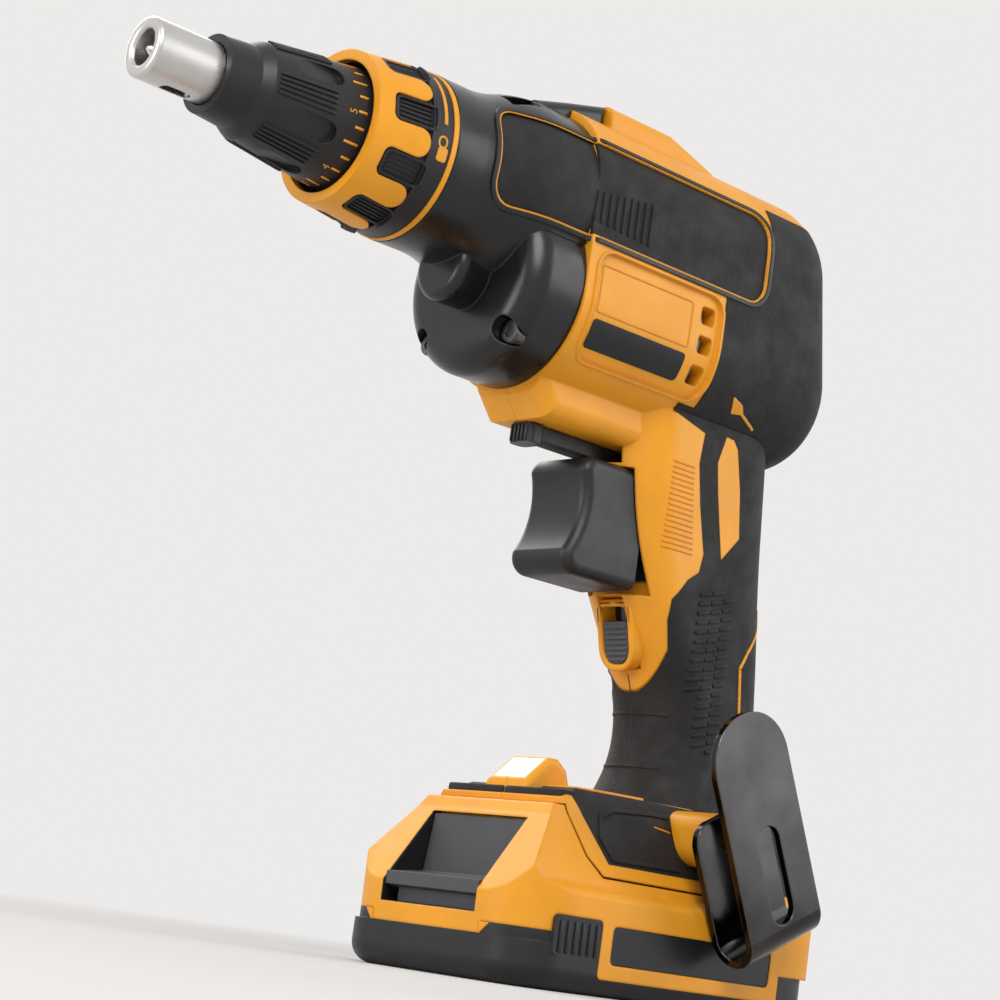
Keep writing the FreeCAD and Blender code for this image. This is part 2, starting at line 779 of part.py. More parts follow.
# Spindle, clutch gear and bit
def make_spindle():
    gear = toothed("drive_gear", "spindle_z", "gear_front", "gear_front + gear_width", "gear_teeth",
                   "spindle_radius + snug")
    axis = [o for o in gear.Group if o.TypeId == "Sketcher::SketchObject"][0]
    add_dogs(gear, axis, "gear_front - dog_height", "gear_front + 0.5", -1)
    node("drive_gear", gear)
    shaft = turned("spindle", "spindle_z", [
        ("spindle_front", "0"),
        ("spindle_front", "spindle_radius"),
        ("flange_front", "spindle_radius"),
        ("flange_front", "flange_radius"),
        (FLANGE_BACK, "flange_radius"),
        (FLANGE_BACK, "spindle_radius"),
        ("spindle_back", "spindle_radius"),
        ("spindle_back", "0"),
    ])
    axis = shaft.Tip.Profile[0]
    add_dogs(shaft, axis, FLANGE_BACK + " - 0.5", FLANGE_BACK + " + dog_height", 1)
    node("spindle", shaft)
    node("clutch_spring", tube("clutch_spring", "spindle_z", FLANGE_BACK, "gear_front - snug",
            "spindle_radius + play",
                               "spindle_radius + 1.4"))
    bit_front = "tip_front + bit_recess"
    bit_back = "tip_front + bit_recess + bit_length"
    flat = "bit_hex/2"
    point = "bit_hex/sqrt(3)"
    holder = rod("holder_rod", "spindle_z", "spindle_front - holder_length", "spindle_front", "holder_radius")
    socket = prism("holder_socket", "YZ", "spindle_front - holder_length - 1", bit_back,
            hexagon(flat, point, "snug"))
    round_edges(holder, "1", lambda e: abs(e.CenterOfMass.x - value("spindle_front - holder_length")) < 0.01)
    node("bit_holder", cut("bit_holder", holder, socket))
    shank = prism("bit_shank", "YZ", bit_front + " + 9", bit_back, hexagon(flat, point, "0"))
    blade = turned("bit_point", "spindle_z", [
        (bit_front, "0"),
        (bit_front, "0.5"),
        (bit_front + " + 2.6", "2.4"),
        (bit_front + " + 7", "2.8"),
        (bit_front + " + 10", "bit_hex/2"),
        (bit_front + " + 10", "0"),
    ])
    flutes = []
    for y, z in ((-1, -1), (-1, 1), (1, -1), (1, 1)):
        flutes.append(prism("bit_flute", "YZ", bit_front + " - 1", bit_front + " + 5", (
            "rounded", "2*%d - 1.4" % y, "2*%d + 1.4" % y, "spindle_z + 2*%d - 1.4" % z,
            "spindle_z + 2*%d + 1.4" % z, "0.5")))
    node("bit", cut("bit", fuse("bit_blank", shank, blade), *flutes))


def hexagon(flat, point, clearance):
    f = "(%s + %s)" % (flat, clearance)
    p = "(%s + %s*2/sqrt(3))" % (point, clearance)
    return ("polygon", (p, "spindle_z"), (p + "/2", "spindle_z + " + f), ("-%s/2" % p, "spindle_z + " + f),
            ("-" + p, "spindle_z"), ("-%s/2" % p, "spindle_z - " + f), (p + "/2", "spindle_z - " + f))


# Brushless motor
def make_motor():
    node("motor_shaft", rod("motor_shaft", MOTOR_Z, "shaft_front", "shaft_back", "shaft_radius"))
    node("pinion", toothed("pinion", MOTOR_Z, "gear_front - 1", "gear_front + gear_width + 1", "pinion_teeth",
                           "shaft_radius"))
    fan = tube("cooling_fan", MOTOR_Z, "fan_front", "fan_front + 1.4", "shaft_radius", "fan_radius")
    axis = fan.Tip.Profile[0]
    pad(fan, "YZ", "fan_front", "fan_front + fan_width", ("disc", "0", MOTOR_Z, "6"),
            ("disc", "0", MOTOR_Z, "shaft_radius"))
    blade = pad(fan, "YZ", "fan_front + 1", "fan_front + fan_width", (
        "polygon", ("-0.6", MOTOR_Z + " + 8"), ("0.6", MOTOR_Z + " + 8"), ("4", MOTOR_Z + " + fan_radius - 1"),
        ("2.6", MOTOR_Z + " + fan_radius - 0.8")))
    repeat_round(fan, blade, axis, "fan_blades")
    node("cooling_fan", fan)
    core = tube("rotor_tube", MOTOR_Z, "stator_front", STATOR_BACK, "shaft_radius", "rotor_radius")
    slots = []
    magnets = []
    for low_y, high_y, low_z, high_z in (("-6", "6", "8", "10"), ("-6", "6", "-10", "-8"),
            ("8", "10", "-6", "6"),
                                         ("-10", "-8", "-6", "6")):
        place = ("rounded", low_y, high_y, "%s + %s" % (MOTOR_Z, low_z), "%s + %s" % (MOTOR_Z, high_z), "0.4")
        slots.append(prism("magnet_slot", "YZ", "stator_front - 1", STATOR_BACK + " + 1", place))
        magnets.append(prism("magnet", "YZ", "stator_front", STATOR_BACK, place))
    node("rotor_core", cut("rotor_core", core, *slots))
    node("rotor_magnets", group("rotor_magnets", magnets))
    stator = tube("stator_ring", MOTOR_Z, "stator_front", STATOR_BACK, "rotor_radius + air_gap",
            "stator_radius")
    axis = stator.Tip.Profile[0]
    slot = new_sketch(stator, "YZ", "0", "stator_front - 1")
    inner = "rotor_radius + air_gap"
    draw_polygon(slot, [("-1", MOTOR_Z + " + %s - 1" % inner), ("1", MOTOR_Z + " + %s - 1" % inner),
                        ("1.2", MOTOR_Z + " + %s + 1.5" % inner), ("6", MOTOR_Z + " + stator_radius - 4"),
                        ("-6", MOTOR_Z + " + stator_radius - 4"), ("-1.2", MOTOR_Z + " + %s + 1.5" % inner)])
    pocket = stator.newObject("PartDesign::Pocket", "Slot")
    pocket.Profile = slot
    pocket.Reversed = True
    pocket.setExpression("Length", bind("stator_length + 2"))
    stator.Tip = pocket
    repeat_round(stator, pocket, axis, "6")
    node("stator_core", stator)
    coils = []
    for i in range(6):
        coil = prism("coil", "YZ", "stator_front - 2", STATOR_BACK + " + 1.5", (
            "polygon", ("-1", MOTOR_Z + " + %s + 2" % inner), ("1", MOTOR_Z + " + %s + 2" % inner),
            ("5", MOTOR_Z + " + stator_radius - 4.4"), ("-5", MOTOR_Z + " + stator_radius - 4.4")))
        centre = FreeCAD.Vector(0, 0, value(MOTOR_Z))
        turn = FreeCAD.Rotation(FreeCAD.Vector(1, 0, 0), 60 * i)
        coil.Placement = FreeCAD.Placement(FreeCAD.Vector(), turn, centre)
        coils.append(coil)
    node("stator_coils", group("stator_coils", coils))
    node("motor_board", tube("motor_board", MOTOR_Z, BOARD_FRONT, BOARD_FRONT + " + board_thickness",
            "small_bearing_radius + 1",
                             "stator_radius - 2"))


# Housing outer forms
@shared
def shell_form(label, inset):
    low = "(%s + %s)" % (SHELL_FLOOR, inset)
    high = "(shell_top - %s)" % inset
    half = "(shell_half - %s)" % inset
    back = "(shell_back - %s)" % inset
    lean = "(shell_lean/(shell_top - %s))" % SHELL_FLOOR
    shell = prism(label, "YZ", "case_back", back, ("rounded", "-" + half, half, low, high, half + " - 2"))
    wedge = new_sketch(shell, "XZ", "0", "shell_half + 5")
    draw_polygon(wedge, [(back, SHELL_FLOOR), (back + " + 20", SHELL_FLOOR), (back + " + 20", "shell_top + 10"),
                         ("%s - %s*(shell_top + 10 - %s)" % (back, lean, SHELL_FLOOR), "shell_top + 10")])
    slope = shell.newObject("PartDesign::Pocket", "Slope")
    slope.Profile = wedge
    slope.setExpression("Length", bind("2*shell_half + 10"))
    shell.Tip = slope
    floor = value(SHELL_FLOOR)

    def on_slope(edge):
        points = [v.Point for v in edge.Vertexes] + [edge.CenterOfMass]
        return all(p.x > value(back) - value(lean) * (p.z - floor) - 0.01 - (p == points[-1]) * 3 for p in points)

    return round_edges(shell, "shell_rounding", on_slope)


@shared
def handle_form(label, inset):
    sections = []
    for station in ("neck", "trigger", "palm", "slide", "waist", "flare"):
        half = "(%s_width/2 - %s)" % (station, inset)
        outline = ("rounded", "%s_front + %s" % (station, inset), "%s_back - %s" % (station, inset),
                "-" + half, half,
                   half + " - 1.5")
        sections.append((station + "_z", outline))
    half = "(flare_width/2 + 8 - %s)" % inset
    sections.append(("flare_z - 14", ("rounded", "flare_front - 10 + %s" % inset,
            "foot_back - 0.5 - %s" % inset, "-" + half,
                                      half, half + " - 1.5")))
    return lofted(label, "XY", sections)


# Cross-section that the foot and the pack share: upright below, tapering in above
def face_outline(inset):
    half = "(pack_half - %s)" % inset
    shoulder = "(pack_half - taper_in - %s)" % inset
    deck = "(deck_half - %s*0.4)" % inset
    top = "foot_top - %s" % inset
    return ("polygon", ("-" + half, "-1"), (half, "-1"), (half, "taper_z"),
            (shoulder, "taper_top", "taper_in + 2"), (deck, top),
            ("-" + deck, top, "taper_in + 2"), ("-" + shoulder, "taper_top"), ("-" + half, "taper_z"))


@shared
def foot_form(label, inset):
    half = "(pack_half - %s)" % inset
    front = "foot_front + %s" % inset
    back = "foot_back - %s" % inset
    side = prism("foot_side", "XZ", "-" + half, half, (
        "polygon", (front + " + 9", "foot_low"), (back, "foot_low"), (back, "foot_top - 6"),
        ("foot_back - 6 - %s" % inset, "foot_top - %s" % inset),
        (front + " + 7", "foot_top - 1.5 - %s" % inset),
        (front, "foot_top - 5 - %s" % inset), (front, "foot_top - 8"), (front + " + 4.5", "foot_low + 4.6")))
    plan = prism("foot_plan", "XY", "foot_low - 1", "foot_top + 1",
            ("rounded", front, back, "-" + half, half, "14 - %s" % inset))
    face = prism("foot_face", "YZ", "foot_front - 1", "foot_back + 1", face_outline(inset))
    return common(label, side, plan, face)


def upright(edge):
    box = edge.BoundBox
    return box.ZLength > 1 and box.XLength < 0.01 and box.YLength < 0.01


def lamp_form(label):
    body = prism(label, "XZ", "-lamp_half", "lamp_half", (
        "polygon", ("foot_front + 0.5", "foot_top - 6"), ("foot_front + 1", "foot_top - 0.5"),
        ("foot_front + 8.5", "foot_top + 6.5"), ("foot_front + 12", "foot_top + 6.6"),
        ("foot_front + 15.5", "foot_top + 4"),
        ("foot_front + 18", "foot_top - 2"), ("foot_front + 18", "foot_top - 6")))
    return round_edges(body, "2", lambda e: abs(abs(e.CenterOfMass.y) - value("lamp_half")) < 0.01
                       and e.CenterOfMass.z > value("foot_top") and e.BoundBox.XLength > 1)


def hump_form(label):
    front = "case_back + wedge_length + snug"
    body = prism(label, "XZ", "-hump_half", "hump_half", (
        "polygon", (front, "shell_top - 6"), (front, "shell_top + hump_height"),
        ("case_back + 39", "shell_top + hump_height"), ("case_back + 57", "shell_top - 0.5"),
        ("case_back + 57", "shell_top - 6")))
    return round_edges(body, "4", lambda e: abs(abs(e.CenterOfMass.y) - value("hump_half")) < 0.01
                       and e.CenterOfMass.z > value("shell_top + 0.3") and e.BoundBox.XLength > 1)


def wedge_space():
    return prism("wedge_space", "XZ", "-(wedge_half + snug)", "wedge_half + snug", (
        "rounded", "case_back - 5", "case_back + wedge_length + snug", "shell_top - 3 - snug",
        "shell_top + 12", "0.2"))


def neck_form(label):
    floor = "lever_low + lever_height + play"
    body = prism(label, "XZ", "-neck_half", "neck_half", (
        "polygon", ("case_back + 1", SHELL_FLOOR + " + 8"), ("case_back + 1", SHELL_FLOOR + " - 1"),
        ("case_back + 6", floor),
        ("trigger_front + 8", floor), ("trigger_front + 8", SHELL_FLOOR + " + 8")))
    return round_edges(body, "5", lambda e: abs(abs(e.CenterOfMass.y) - value("neck_half")) < 0.01
                       and e.CenterOfMass.z < value(SHELL_FLOOR) - 2)


def hook_pads():
    pads = []
    for low, high in (("-(%s)" % HOOK_FACE, "-(rail_head_half + 2)"), ("rail_head_half + 2", HOOK_FACE)):
        pads.append(prism("hook_pad", "XZ", low, high, (
            "rounded", "hook_x - 9", "hook_x + 9", "hook_z - 8.5", "hook_z + 6.5", "5")))
    return pads


# Spaces inside the housing
def motor_space():
    return turned("motor_space", MOTOR_Z, [
        ("case_back - 1", "0"),
        ("case_back - 1", "fan_radius + 1.5"),
        ("stator_front - 2.5", "fan_radius + 1.5"),
        ("stator_front - 2.5", "stator_radius + snug"),
        (STATOR_BACK, "stator_radius + snug"),
        (STATOR_BACK, "stator_radius - 2 + snug"),
        (REAR_BEARING, "stator_radius - 2 + snug"),
        (REAR_BEARING, "small_bearing_radius + snug"),
        (REAR_BEARING + " + small_bearing_width", "small_bearing_radius + snug"),
        (REAR_BEARING + " + small_bearing_width", "shaft_radius + 1"),
        ("shaft_back + 2", "shaft_radius + 1"),
        ("shaft_back + 2", "0"),
    ])


def trigger_space():
    tail = "trigger_tail + trigger_travel + play"
    opening = prism("trigger_opening", "XZ", "-30", "30", (
        "polygon", ("lever_tip - 15", "lever_low - play"), ("palm_front - 7.5", "lever_low - play", "-7.5"),
        ("palm_front - 0.5", "lever_low - 7.5"), ("palm_front - 0.5", "trigger_low + 6", "-6.5"),
        ("palm_front - 6", "trigger_low - play"), ("palm_front - 11", "trigger_low - 2"),
        ("lever_tip - 15", "trigger_low - 2")))
    well = prism("trigger_well", "XZ", "-(trigger_half + play)", "trigger_half + play", (
        "polygon", ("palm_front - 20", "trigger_low - play"), (tail, "trigger_low - play"),
        (tail, "trigger_high + play"),
        ("palm_front - 20", "trigger_high + play")))
    lever = prism("lever_space", "XZ", "-9.5", "9.5", (
        "polygon", ("palm_front - 30", "lever_low - play"),
        ("lever_pivot + lever_half + play + 1", "lever_low - play"),
        ("lever_pivot + lever_half + play + 1", "lever_low + lever_height + play"),
        ("palm_front - 30", "lever_low + lever_height + play")))
    return [opening, well, lever]


def slider_front(z):
    slope = "((palm_front - slide_front)/(palm_z - slide_z)*0.5)"
    return "(slide_front + %s*(%s - slide_z))" % (slope, z)


def slider_space():
    low = "slider_low - play"
    high = "slider_low + slider_height + slider_travel + 2.5"
    back = "slider_depth + play"
    return prism("slider_space", "XZ", "-(slider_half + play)", "slider_half + play", (
        "polygon", (slider_front(low) + " - 6", low), (slider_front(low) + " + " + back, low),
        (slider_front(high) + " + " + back, high), (slider_front(high) + " - 6", high)))


def box_space(name, grow):
    boxes = {
        "switch": ("trigger_tail + trigger_travel + play", "trigger_back - 13", "-11", "11", "trigger_low + 3",
                   "trigger_high - 1"),
        "module": ("waist_front + 7", "waist_back - 10", "-10.5", "10.5", "flare_z + 2", "slide_z + 2"),
        "block": ("tower_back + 1", "channel_back", "2 - rail_neck_half", "rail_neck_half - 2", "rail_low + 1",
                  "rail_top + 0.4"),
    }
    x0, x1, y0, y1, z0, z1 = boxes[name]
    return prism(name + "_box", "XZ", "%s - %s" % (y0, grow), "%s + %s" % (y1, grow), (
        "rounded", "%s - %s" % (x0, grow), "%s + %s" % (x1, grow), "%s - %s" % (z0, grow),
        "%s + %s" % (z1, grow), "2"))


def rail_space():
    neck = prism("rail_neck_space", "YZ", "foot_front - 10", "channel_back", (
        "rounded", "-(rail_neck_half + play)", "rail_neck_half + play", "foot_low - 5", "rail_top", "0.5"))
    head = prism("rail_head_space", "YZ", "foot_front - 10", "channel_back", (
        "rounded", "-(rail_head_half + play)", "rail_head_half + play", "rail_low - play", "rail_top + 0.4",
        "0.5"))
    return [neck, head]


def screw_places():
    return [("shell_back - 21", "spindle_z - 4"), ("shell_back - 15", MOTOR_Z + " - 14"),
            ("shell_back - 31", "shell_top - 12"),
            ("palm_back - 4.5", "slide_z + 10"), ("waist_front + 1.5", "waist_z + 9"),
            ("flare_back - 8", "flare_z + 4")]


def screw_spaces():
    spaces = []
    for x, z in screw_places():
        spaces.append(prism("screw_head_space", "XZ", "9", "60", ("disc", x, z, "3.2")))
        spaces.append(prism("screw_hole", "XZ", "-8.5", "10", ("disc", x, z, "1.5 + snug")))
    return spaces


def make_housing_screws():
    members = []
    for x, z in screw_places():
        screw = prism("housing_screw", "XZ", "-8", "9", ("disc", x, z, "1.5"))
        pad(screw, "XZ", "9", "11.5", ("disc", x, z, "2.9"))
        members.append(screw)
    node("housing_screws", group("housing_screws", members))


def badge_recesses():
    recesses = []
    for low, high in (("-40", "0"), ("0", "40")):
        region = prism("badge_region", "XZ", low, high, (
            "rounded", "case_back + 4", "shell_back - 59", MOTOR_Z + " - 19", MOTOR_Z + " + 10.5", "5"))
        recesses.append(cut("badge_pocket", region, shell_form("badge_depth")))
        for i in range(3):
            z = MOTOR_Z + " - 12.5 + 8.5*%d" % i
            recesses.append(prism("side_vent", "XZ", low, high, (
                "rounded", "shell_back - 66.5", "shell_back - 61", "%s - 2.6" % z, "%s + 2.6" % z, "1.2")))
    return recesses


def chin_vent():
    return prism("chin_vent", "XY", SHELL_FLOOR + " - 3", MOTOR_Z + " - 20", (
        "rounded", "fan_front + 1", "fan_front + 5", "-11", "11", "1.8"))


# The lens lies along the pod's front slope, with the light source behind it
def lamp_space():
    led = prism("led_space", "XZ", "-(2 + snug)", "2 + snug", (
        "rounded", "foot_front + 5.2 - snug", "foot_front + 8.2 + snug", "foot_top - 1.8 - snug",
        "foot_top + 2", "0.2"))
    return [prism("lamp_space", "XZ", "-(lamp_half - 2.2)", "lamp_half - 2.2", lamp_outline("0.5")), led]


def lamp_outline(proud):
    return ("polygon", ("foot_front + 1.6 - 1.36*%s" % proud, "foot_top + 0.06 + 1.42*%s" % proud),
            ("foot_front + 2.96", "foot_top - 1.36"), ("foot_front + 9.36", "foot_top + 4.61"),
            ("foot_front + 8 - 1.36*%s" % proud, "foot_top + 6.03 + 1.42*%s" % proud))


# Overmoulded grip: a skin over the handle and foot, with a bare strip left open
def make_housing():
    handle = handle_form("0")
    foot = foot_form("0")
    outer = fuse("housing_outer", shell_form("0"), hump_form("hump"), neck_form("neck"), handle, foot,
                 lamp_form("lamp_pod"), *hook_pads())
    skin = cut("handle_skin", handle_form("0"), handle_form("overmould"),
               shell_form("0"))
    region = prism("grip_region", "XZ", "-40", "40", (
        "polygon", ("-5", "neck_z + 2"), ("-8", "neck_z - 4"), ("4.5", "neck_z - 7"), ("4.2", "trigger_z + 6"),
        ("7.3", "trigger_z - 5.4"), ("11.8", "palm_z + 3"), ("11", "palm_z - 2.5"), ("7", "palm_z - 5.5"),
        ("2.4", "slide_z + 10"),
        ("3", "slide_z + 4"), ("6", "slide_z - 4"), ("6.4", "waist_z + 4"), ("-12", "waist_z + 3"),
        ("-12", "flare_z - 10"),
        ("70", "flare_z - 10"), ("70", "neck_z + 12"), ("8", "neck_z + 12")))
    strip = prism("grip_strip", "XZ", "-40", "40", (
        "polygon", ("19.3", "palm_z + 3"), ("25.4", "palm_z + 10.5"), ("22.6", "trigger_z + 2"),
        ("18.8", "trigger_z + 13.7"),
        ("16.6", "trigger_z + 16"), ("13.5", "trigger_z + 16.2"), ("11.6", "trigger_z + 8"),
        ("13.6", "trigger_z"),
        ("17.4", "palm_z + 9.4")))
    deck = prism("foot_deck", "XY", "foot_top - 4.5", "foot_top + 20", (
        "rounded", "foot_front + 8", "foot_back - 14", "-(deck_half + 2)", "deck_half + 2", "9"))
    foot_skin = cut("foot_skin", foot_form("0"), foot_form("overmould"), deck,
                    handle_form("overmould"))
    grip_blank = fuse("grip_blank", cut("grip_sides", common("grip_skin", skin, region), strip), foot_skin)
    shared_cuts = trigger_space() + rail_space() + screw_spaces() + insert_spaces() + [slider_space()]
    spaces = [motor_space(), chin_vent(), tail_space(), air_space(), stem_space(), wedge_space()] + lamp_space()
    spaces += [box_space("switch", "snug"), box_space("module", "snug")]
    grip = cut("grip_whole", grip_blank, lamp_form("grip_lamp"), *(shared_cuts + hook_pads()))
    recesses = badge_recesses() + pad_recesses("shell") + case_screw_holes()
    shell = cut("housing_whole", outer, grip, *(spaces + shared_cuts + recesses))
    for side, low, high in (("left", "-60", "0"), ("right", "0", "60")):
        half = prism("half_" + side, "XZ", low, high,
                ("rounded", "case_back - 20", "foot_back + 20", "0", "shell_top + 20", "1"))
        node("housing_" + side, common("housing_" + side, shell, half))
        other = prism("grip_half_" + side, "XZ", low, high,
                ("rounded", "case_back - 20", "foot_back + 20", "0", "shell_top + 20", "1"))
        node("grip_" + side, common("grip_" + side, grip, other))


def tail_space():
    return rod("tail_space", "spindle_z", "case_back - 1", "spindle_back + spindle_travel + 4",
            "spindle_radius + 2")


def air_space():
    return prism("air_space", "XZ", "-14", "14", (
        "rounded", "case_back + 3", "shell_back - 45", "spindle_z + 10", "shell_top - 6.5", "3"))


def stem_space():
    return prism("stem_space", "YZ", "trigger_tail", "trigger_tail + 12",
            ("disc", "0", "palm_z + 5", "3 + play"))


def case_screw_holes():
    holes = []
    for y, z in case_screw_places():
        holes.append(prism("shell_screw_hole", "YZ", "case_back - 1", "case_back + 9",
                ("disc", y, z, "case_screw_radius + snug")))
    return holes


def insert_spaces():
    spaces = []
    for low, high in (("-(%s) - 1" % HOOK_FACE, "-(%s - insert_length)" % HOOK_FACE),
                      ("%s - insert_length" % HOOK_FACE, HOOK_FACE + " + 1")):
        spaces.append(prism("insert_space", "XZ", low, high,
                ("disc", "hook_x", "hook_z", "insert_radius + snug")))
    return spaces


# Trigger, direction lever and lock-on slider
def make_controls():
    trigger = prism("trigger_blade", "XZ", "-trigger_half", "trigger_half", (
        "polygon", ("trigger_tail", "trigger_low"), ("trigger_tail", "trigger_high"),
        ("trigger_tip + 5", "trigger_high", "4.6"),
        ("trigger_tip + 1.2", "trigger_high - 4.4", "-26"), ("trigger_tip - 1.5", "trigger_low + 6.5", "5.2"),
        ("trigger_tip + 4", "trigger_low")))
    round_edges(trigger, "3", lambda e: abs(abs(e.CenterOfMass.y) - value("trigger_half")) < 0.01
                and e.CenterOfMass.x < value("trigger_tail - 2"))
    stem = prism("trigger_stem", "YZ", "trigger_tail - 2", "trigger_tail + 12",
            ("disc", "0", "palm_z + 5", "3"))
    node("trigger", fuse("trigger", trigger, stem))
    switch = box_space("switch", "0")
    bore = prism("switch_bore", "YZ", "trigger_tail", "trigger_tail + 12 + trigger_travel + 1",
            ("disc", "0", "palm_z + 5", "3 + play"))
    node("trigger_switch", cut("trigger_switch", switch, bore))
    arm = prism("direction_lever", "XY", "lever_low", "lever_low + lever_height", (
        "rounded", "lever_tip", "lever_pivot + lever_half", "-lever_half", "lever_half", "3"))
    pad(arm, "XY", "lever_low - 1.4", "lever_low + lever_height",
            ("rounded", "lever_tip", "lever_tip + 6", "-4.5", "4.5", "2"))
    node("direction_lever", arm)
    low = "slider_low"
    high = "slider_low + slider_height"
    slider = prism("lock_slider", "XZ", "-slider_half", "slider_half", (
        "polygon", (slider_front(low) + " - 0.8", low), (slider_front(low) + " + slider_depth", low),
        (slider_front(high) + " + slider_depth", high), (slider_front(high) + " - 0.8", high)))
    pad(slider, "XZ", "-1.5", "1.5", (
        "polygon", (slider_front(high) + " + 0.8", high + " - 1"),
        (slider_front(high) + " + slider_depth - 1", high + " - 1"),
        (slider_front(high) + " + slider_depth - 1", high + " + 2"),
        (slider_front(high) + " + 0.8", high + " + 2")))
    node("lock_slider", slider)
    node("control_module", box_space("module", "0"))


# Foot fittings: terminals, lamp and belt hook
def make_foot_fittings():
    node("terminal_block", box_space("block", "0"))
    blades = []
    for i in range(4):
        y = "blade_pitch*(%d - 1.5)" % i
        blades.append(prism("blade", "XZ", y + " - 0.4", y + " + 0.4", (
            "rounded", "tower_back - 18", "tower_back + 1", "rail_low + 2.4", "rail_top - 1", "0.5")))
    node("terminal_blades", group("terminal_blades", blades))
    node("lamp_lens", prism("lamp_lens", "XZ", "-(lamp_half - 2.25)", "lamp_half - 2.25", lamp_outline("0")))
    node("lamp_led", prism("lamp_led", "XZ", "-2", "2", (
        "rounded", "foot_front + 5.2", "foot_front + 8.2", "foot_top - 1.8", "foot_top + 0.6", "0.2")))
    inserts = []
    for low, high in (("-(%s)" % HOOK_FACE, "-(%s - insert_length)" % HOOK_FACE),
            ("%s - insert_length" % HOOK_FACE, HOOK_FACE)):
        inserts.append(prism("insert", "XZ", low, high, ("disc", "hook_x", "hook_z", "insert_radius"),
                             ("disc", "hook_x", "hook_z", "hook_screw_radius + snug")))
    node("hook_inserts", group("hook_inserts", inserts))


def make_belt_hook():
    inner = "-(%s)" % HOOK_FACE
    outer = "-(%s + hook_sheet + hook_gap)" % HOOK_FACE
    low = "hook_z - hook_drop"
    high = "hook_z + hook_rise"
    leg_top = "hook_z + 8"
    hook = prism("hook_strip", "YZ", "hook_x - hook_width/2", "hook_x + hook_width/2", (
        "polygon", (inner, low), (inner, leg_top), (inner + " - hook_sheet", leg_top),
        (inner + " - hook_sheet", low + " + hook_sheet"), (outer, low + " + hook_sheet"), (outer, high),
        (outer + " - hook_sheet", high), (outer + " - hook_sheet", low)))
    floor = value(low)
    round_edges(hook, "hook_gap/2 - 0.1", lambda e: abs(e.CenterOfMass.z - value(low + " + hook_sheet")) < 0.01
                and e.BoundBox.XLength > 1)
    round_edges(hook, "hook_gap/2 + hook_sheet - 0.1", lambda e: abs(e.CenterOfMass.z - floor) < 0.01
                and e.BoundBox.XLength > 1 and e.BoundBox.YLength < 0.01)
    round_edges(hook, "hook_width/2 - 0.5", lambda e: abs(e.CenterOfMass.z - value(high)) < 0.01 and e.BoundBox.YLength > 1
                and e.BoundBox.XLength < 0.01)
    round_edges(hook, "6", lambda e: abs(e.CenterOfMass.z - value(leg_top)) < 0.01 and e.BoundBox.YLength > 1
                and e.BoundBox.XLength < 0.01)
    slot = prism("hook_slot", "XZ", outer + " - hook_sheet - 1", outer + " + 1", (
        "rounded", "hook_x - 4.5", "hook_x + 4.5", "hook_z - 23", "hook_z + 4.5", "4.4"))
    hole = prism("hook_hole", "XZ", inner + " - hook_sheet - 1", inner + " + 1",
            ("disc", "hook_x", "hook_z", "hook_screw_radius + 0.2"))
    shape = cut("belt_hook", hook, slot, hole)
    turn = FreeCAD.Rotation(FreeCAD.Vector(0, 1, 0), value("hook_tilt"))
    shape.Placement = FreeCAD.Placement(FreeCAD.Vector(), turn,
            FreeCAD.Vector(value("hook_x"), 0, value("hook_z")))
    node("belt_hook", shape)
    screw = prism("hook_screw", "XZ", inner + " - hook_sheet", "-(%s - insert_length + 1)" % HOOK_FACE,
                  ("disc", "hook_x", "hook_z", "hook_screw_radius"))
    pad(screw, "XZ", inner + " - hook_sheet - 2.4", inner + " - hook_sheet",
            ("disc", "hook_x", "hook_z", "3.8"))
    node("hook_screw", screw)


# Battery pack
def pack_outline(grow):
    return ("polygon",
            ("pack_front - %s" % grow, "pack_split"), ("pack_front - 0.3 - %s" % grow, "pack_split + 11"),
            ("hood_front", "hood_top - 3"), ("hood_front + 1.6", "hood_top"), ("foot_front - play", "hood_top"),
            ("foot_front - play", "foot_top - 8"), ("foot_front + 4.1", "foot_low + 4.4"),
            ("foot_front + 8.7", "pack_shoulder"),
            ("pack_back + %s" % grow, "pack_shoulder"), ("pack_back + %s" % grow, "pack_split"))


# Cross-section of the pack: the foot's, with a rounded ridge where the cells end
def pack_profile():
    outline = list(face_outline("0"))
    ridge = "pack_shoulder - 3"
    right = [("pack_half", ridge + " - 2.4", "3.2"), ("pack_half - 2.2", ridge),
            ("pack_half - 3.5", ridge + " + 1"),
             ("pack_half - taper_in*(pack_shoulder - 1.2 - taper_z)/(taper_top - taper_z)",
             "pack_shoulder - 1.2")]
    left = [("-(%s)" % y, z) for y, z in (corner[:2] for corner in reversed(right))]
    left[-2] = left[-2] + ("3.2",)
    return tuple(outline[:3] + right + outline[4:8] + left)


def pack_edges(body):
    round_edges(body, "17", lambda e: e.BoundBox.YLength < 0.01 and e.CenterOfMass.x < value("pack_front + 0.5")
                and e.BoundBox.ZLength > 5)
    return round_edges(body, "10", lambda e: upright(e) and e.CenterOfMass.x > value("pack_back - 0.5"))


def cell_space(label, low, high, half):
    return prism(label, "XY", low, high, (
        "rounded", "cell_first - cell_radius - 0.6", "pack_back - pack_wall - 2", "-(%s)" % half, half, "3"))


def side_blocks(label, x0, x1, z0, z1, depth):
    blocks = []
    for low, high in (("-pack_half - 1", "-(pack_half - (%s))" % depth),
            ("pack_half - (%s)" % depth, "pack_half + 1")):
        blocks.append(prism(label, "XZ", low, high, ("rounded", x0, x1, z0, z1, "1.5")))
    return blocks


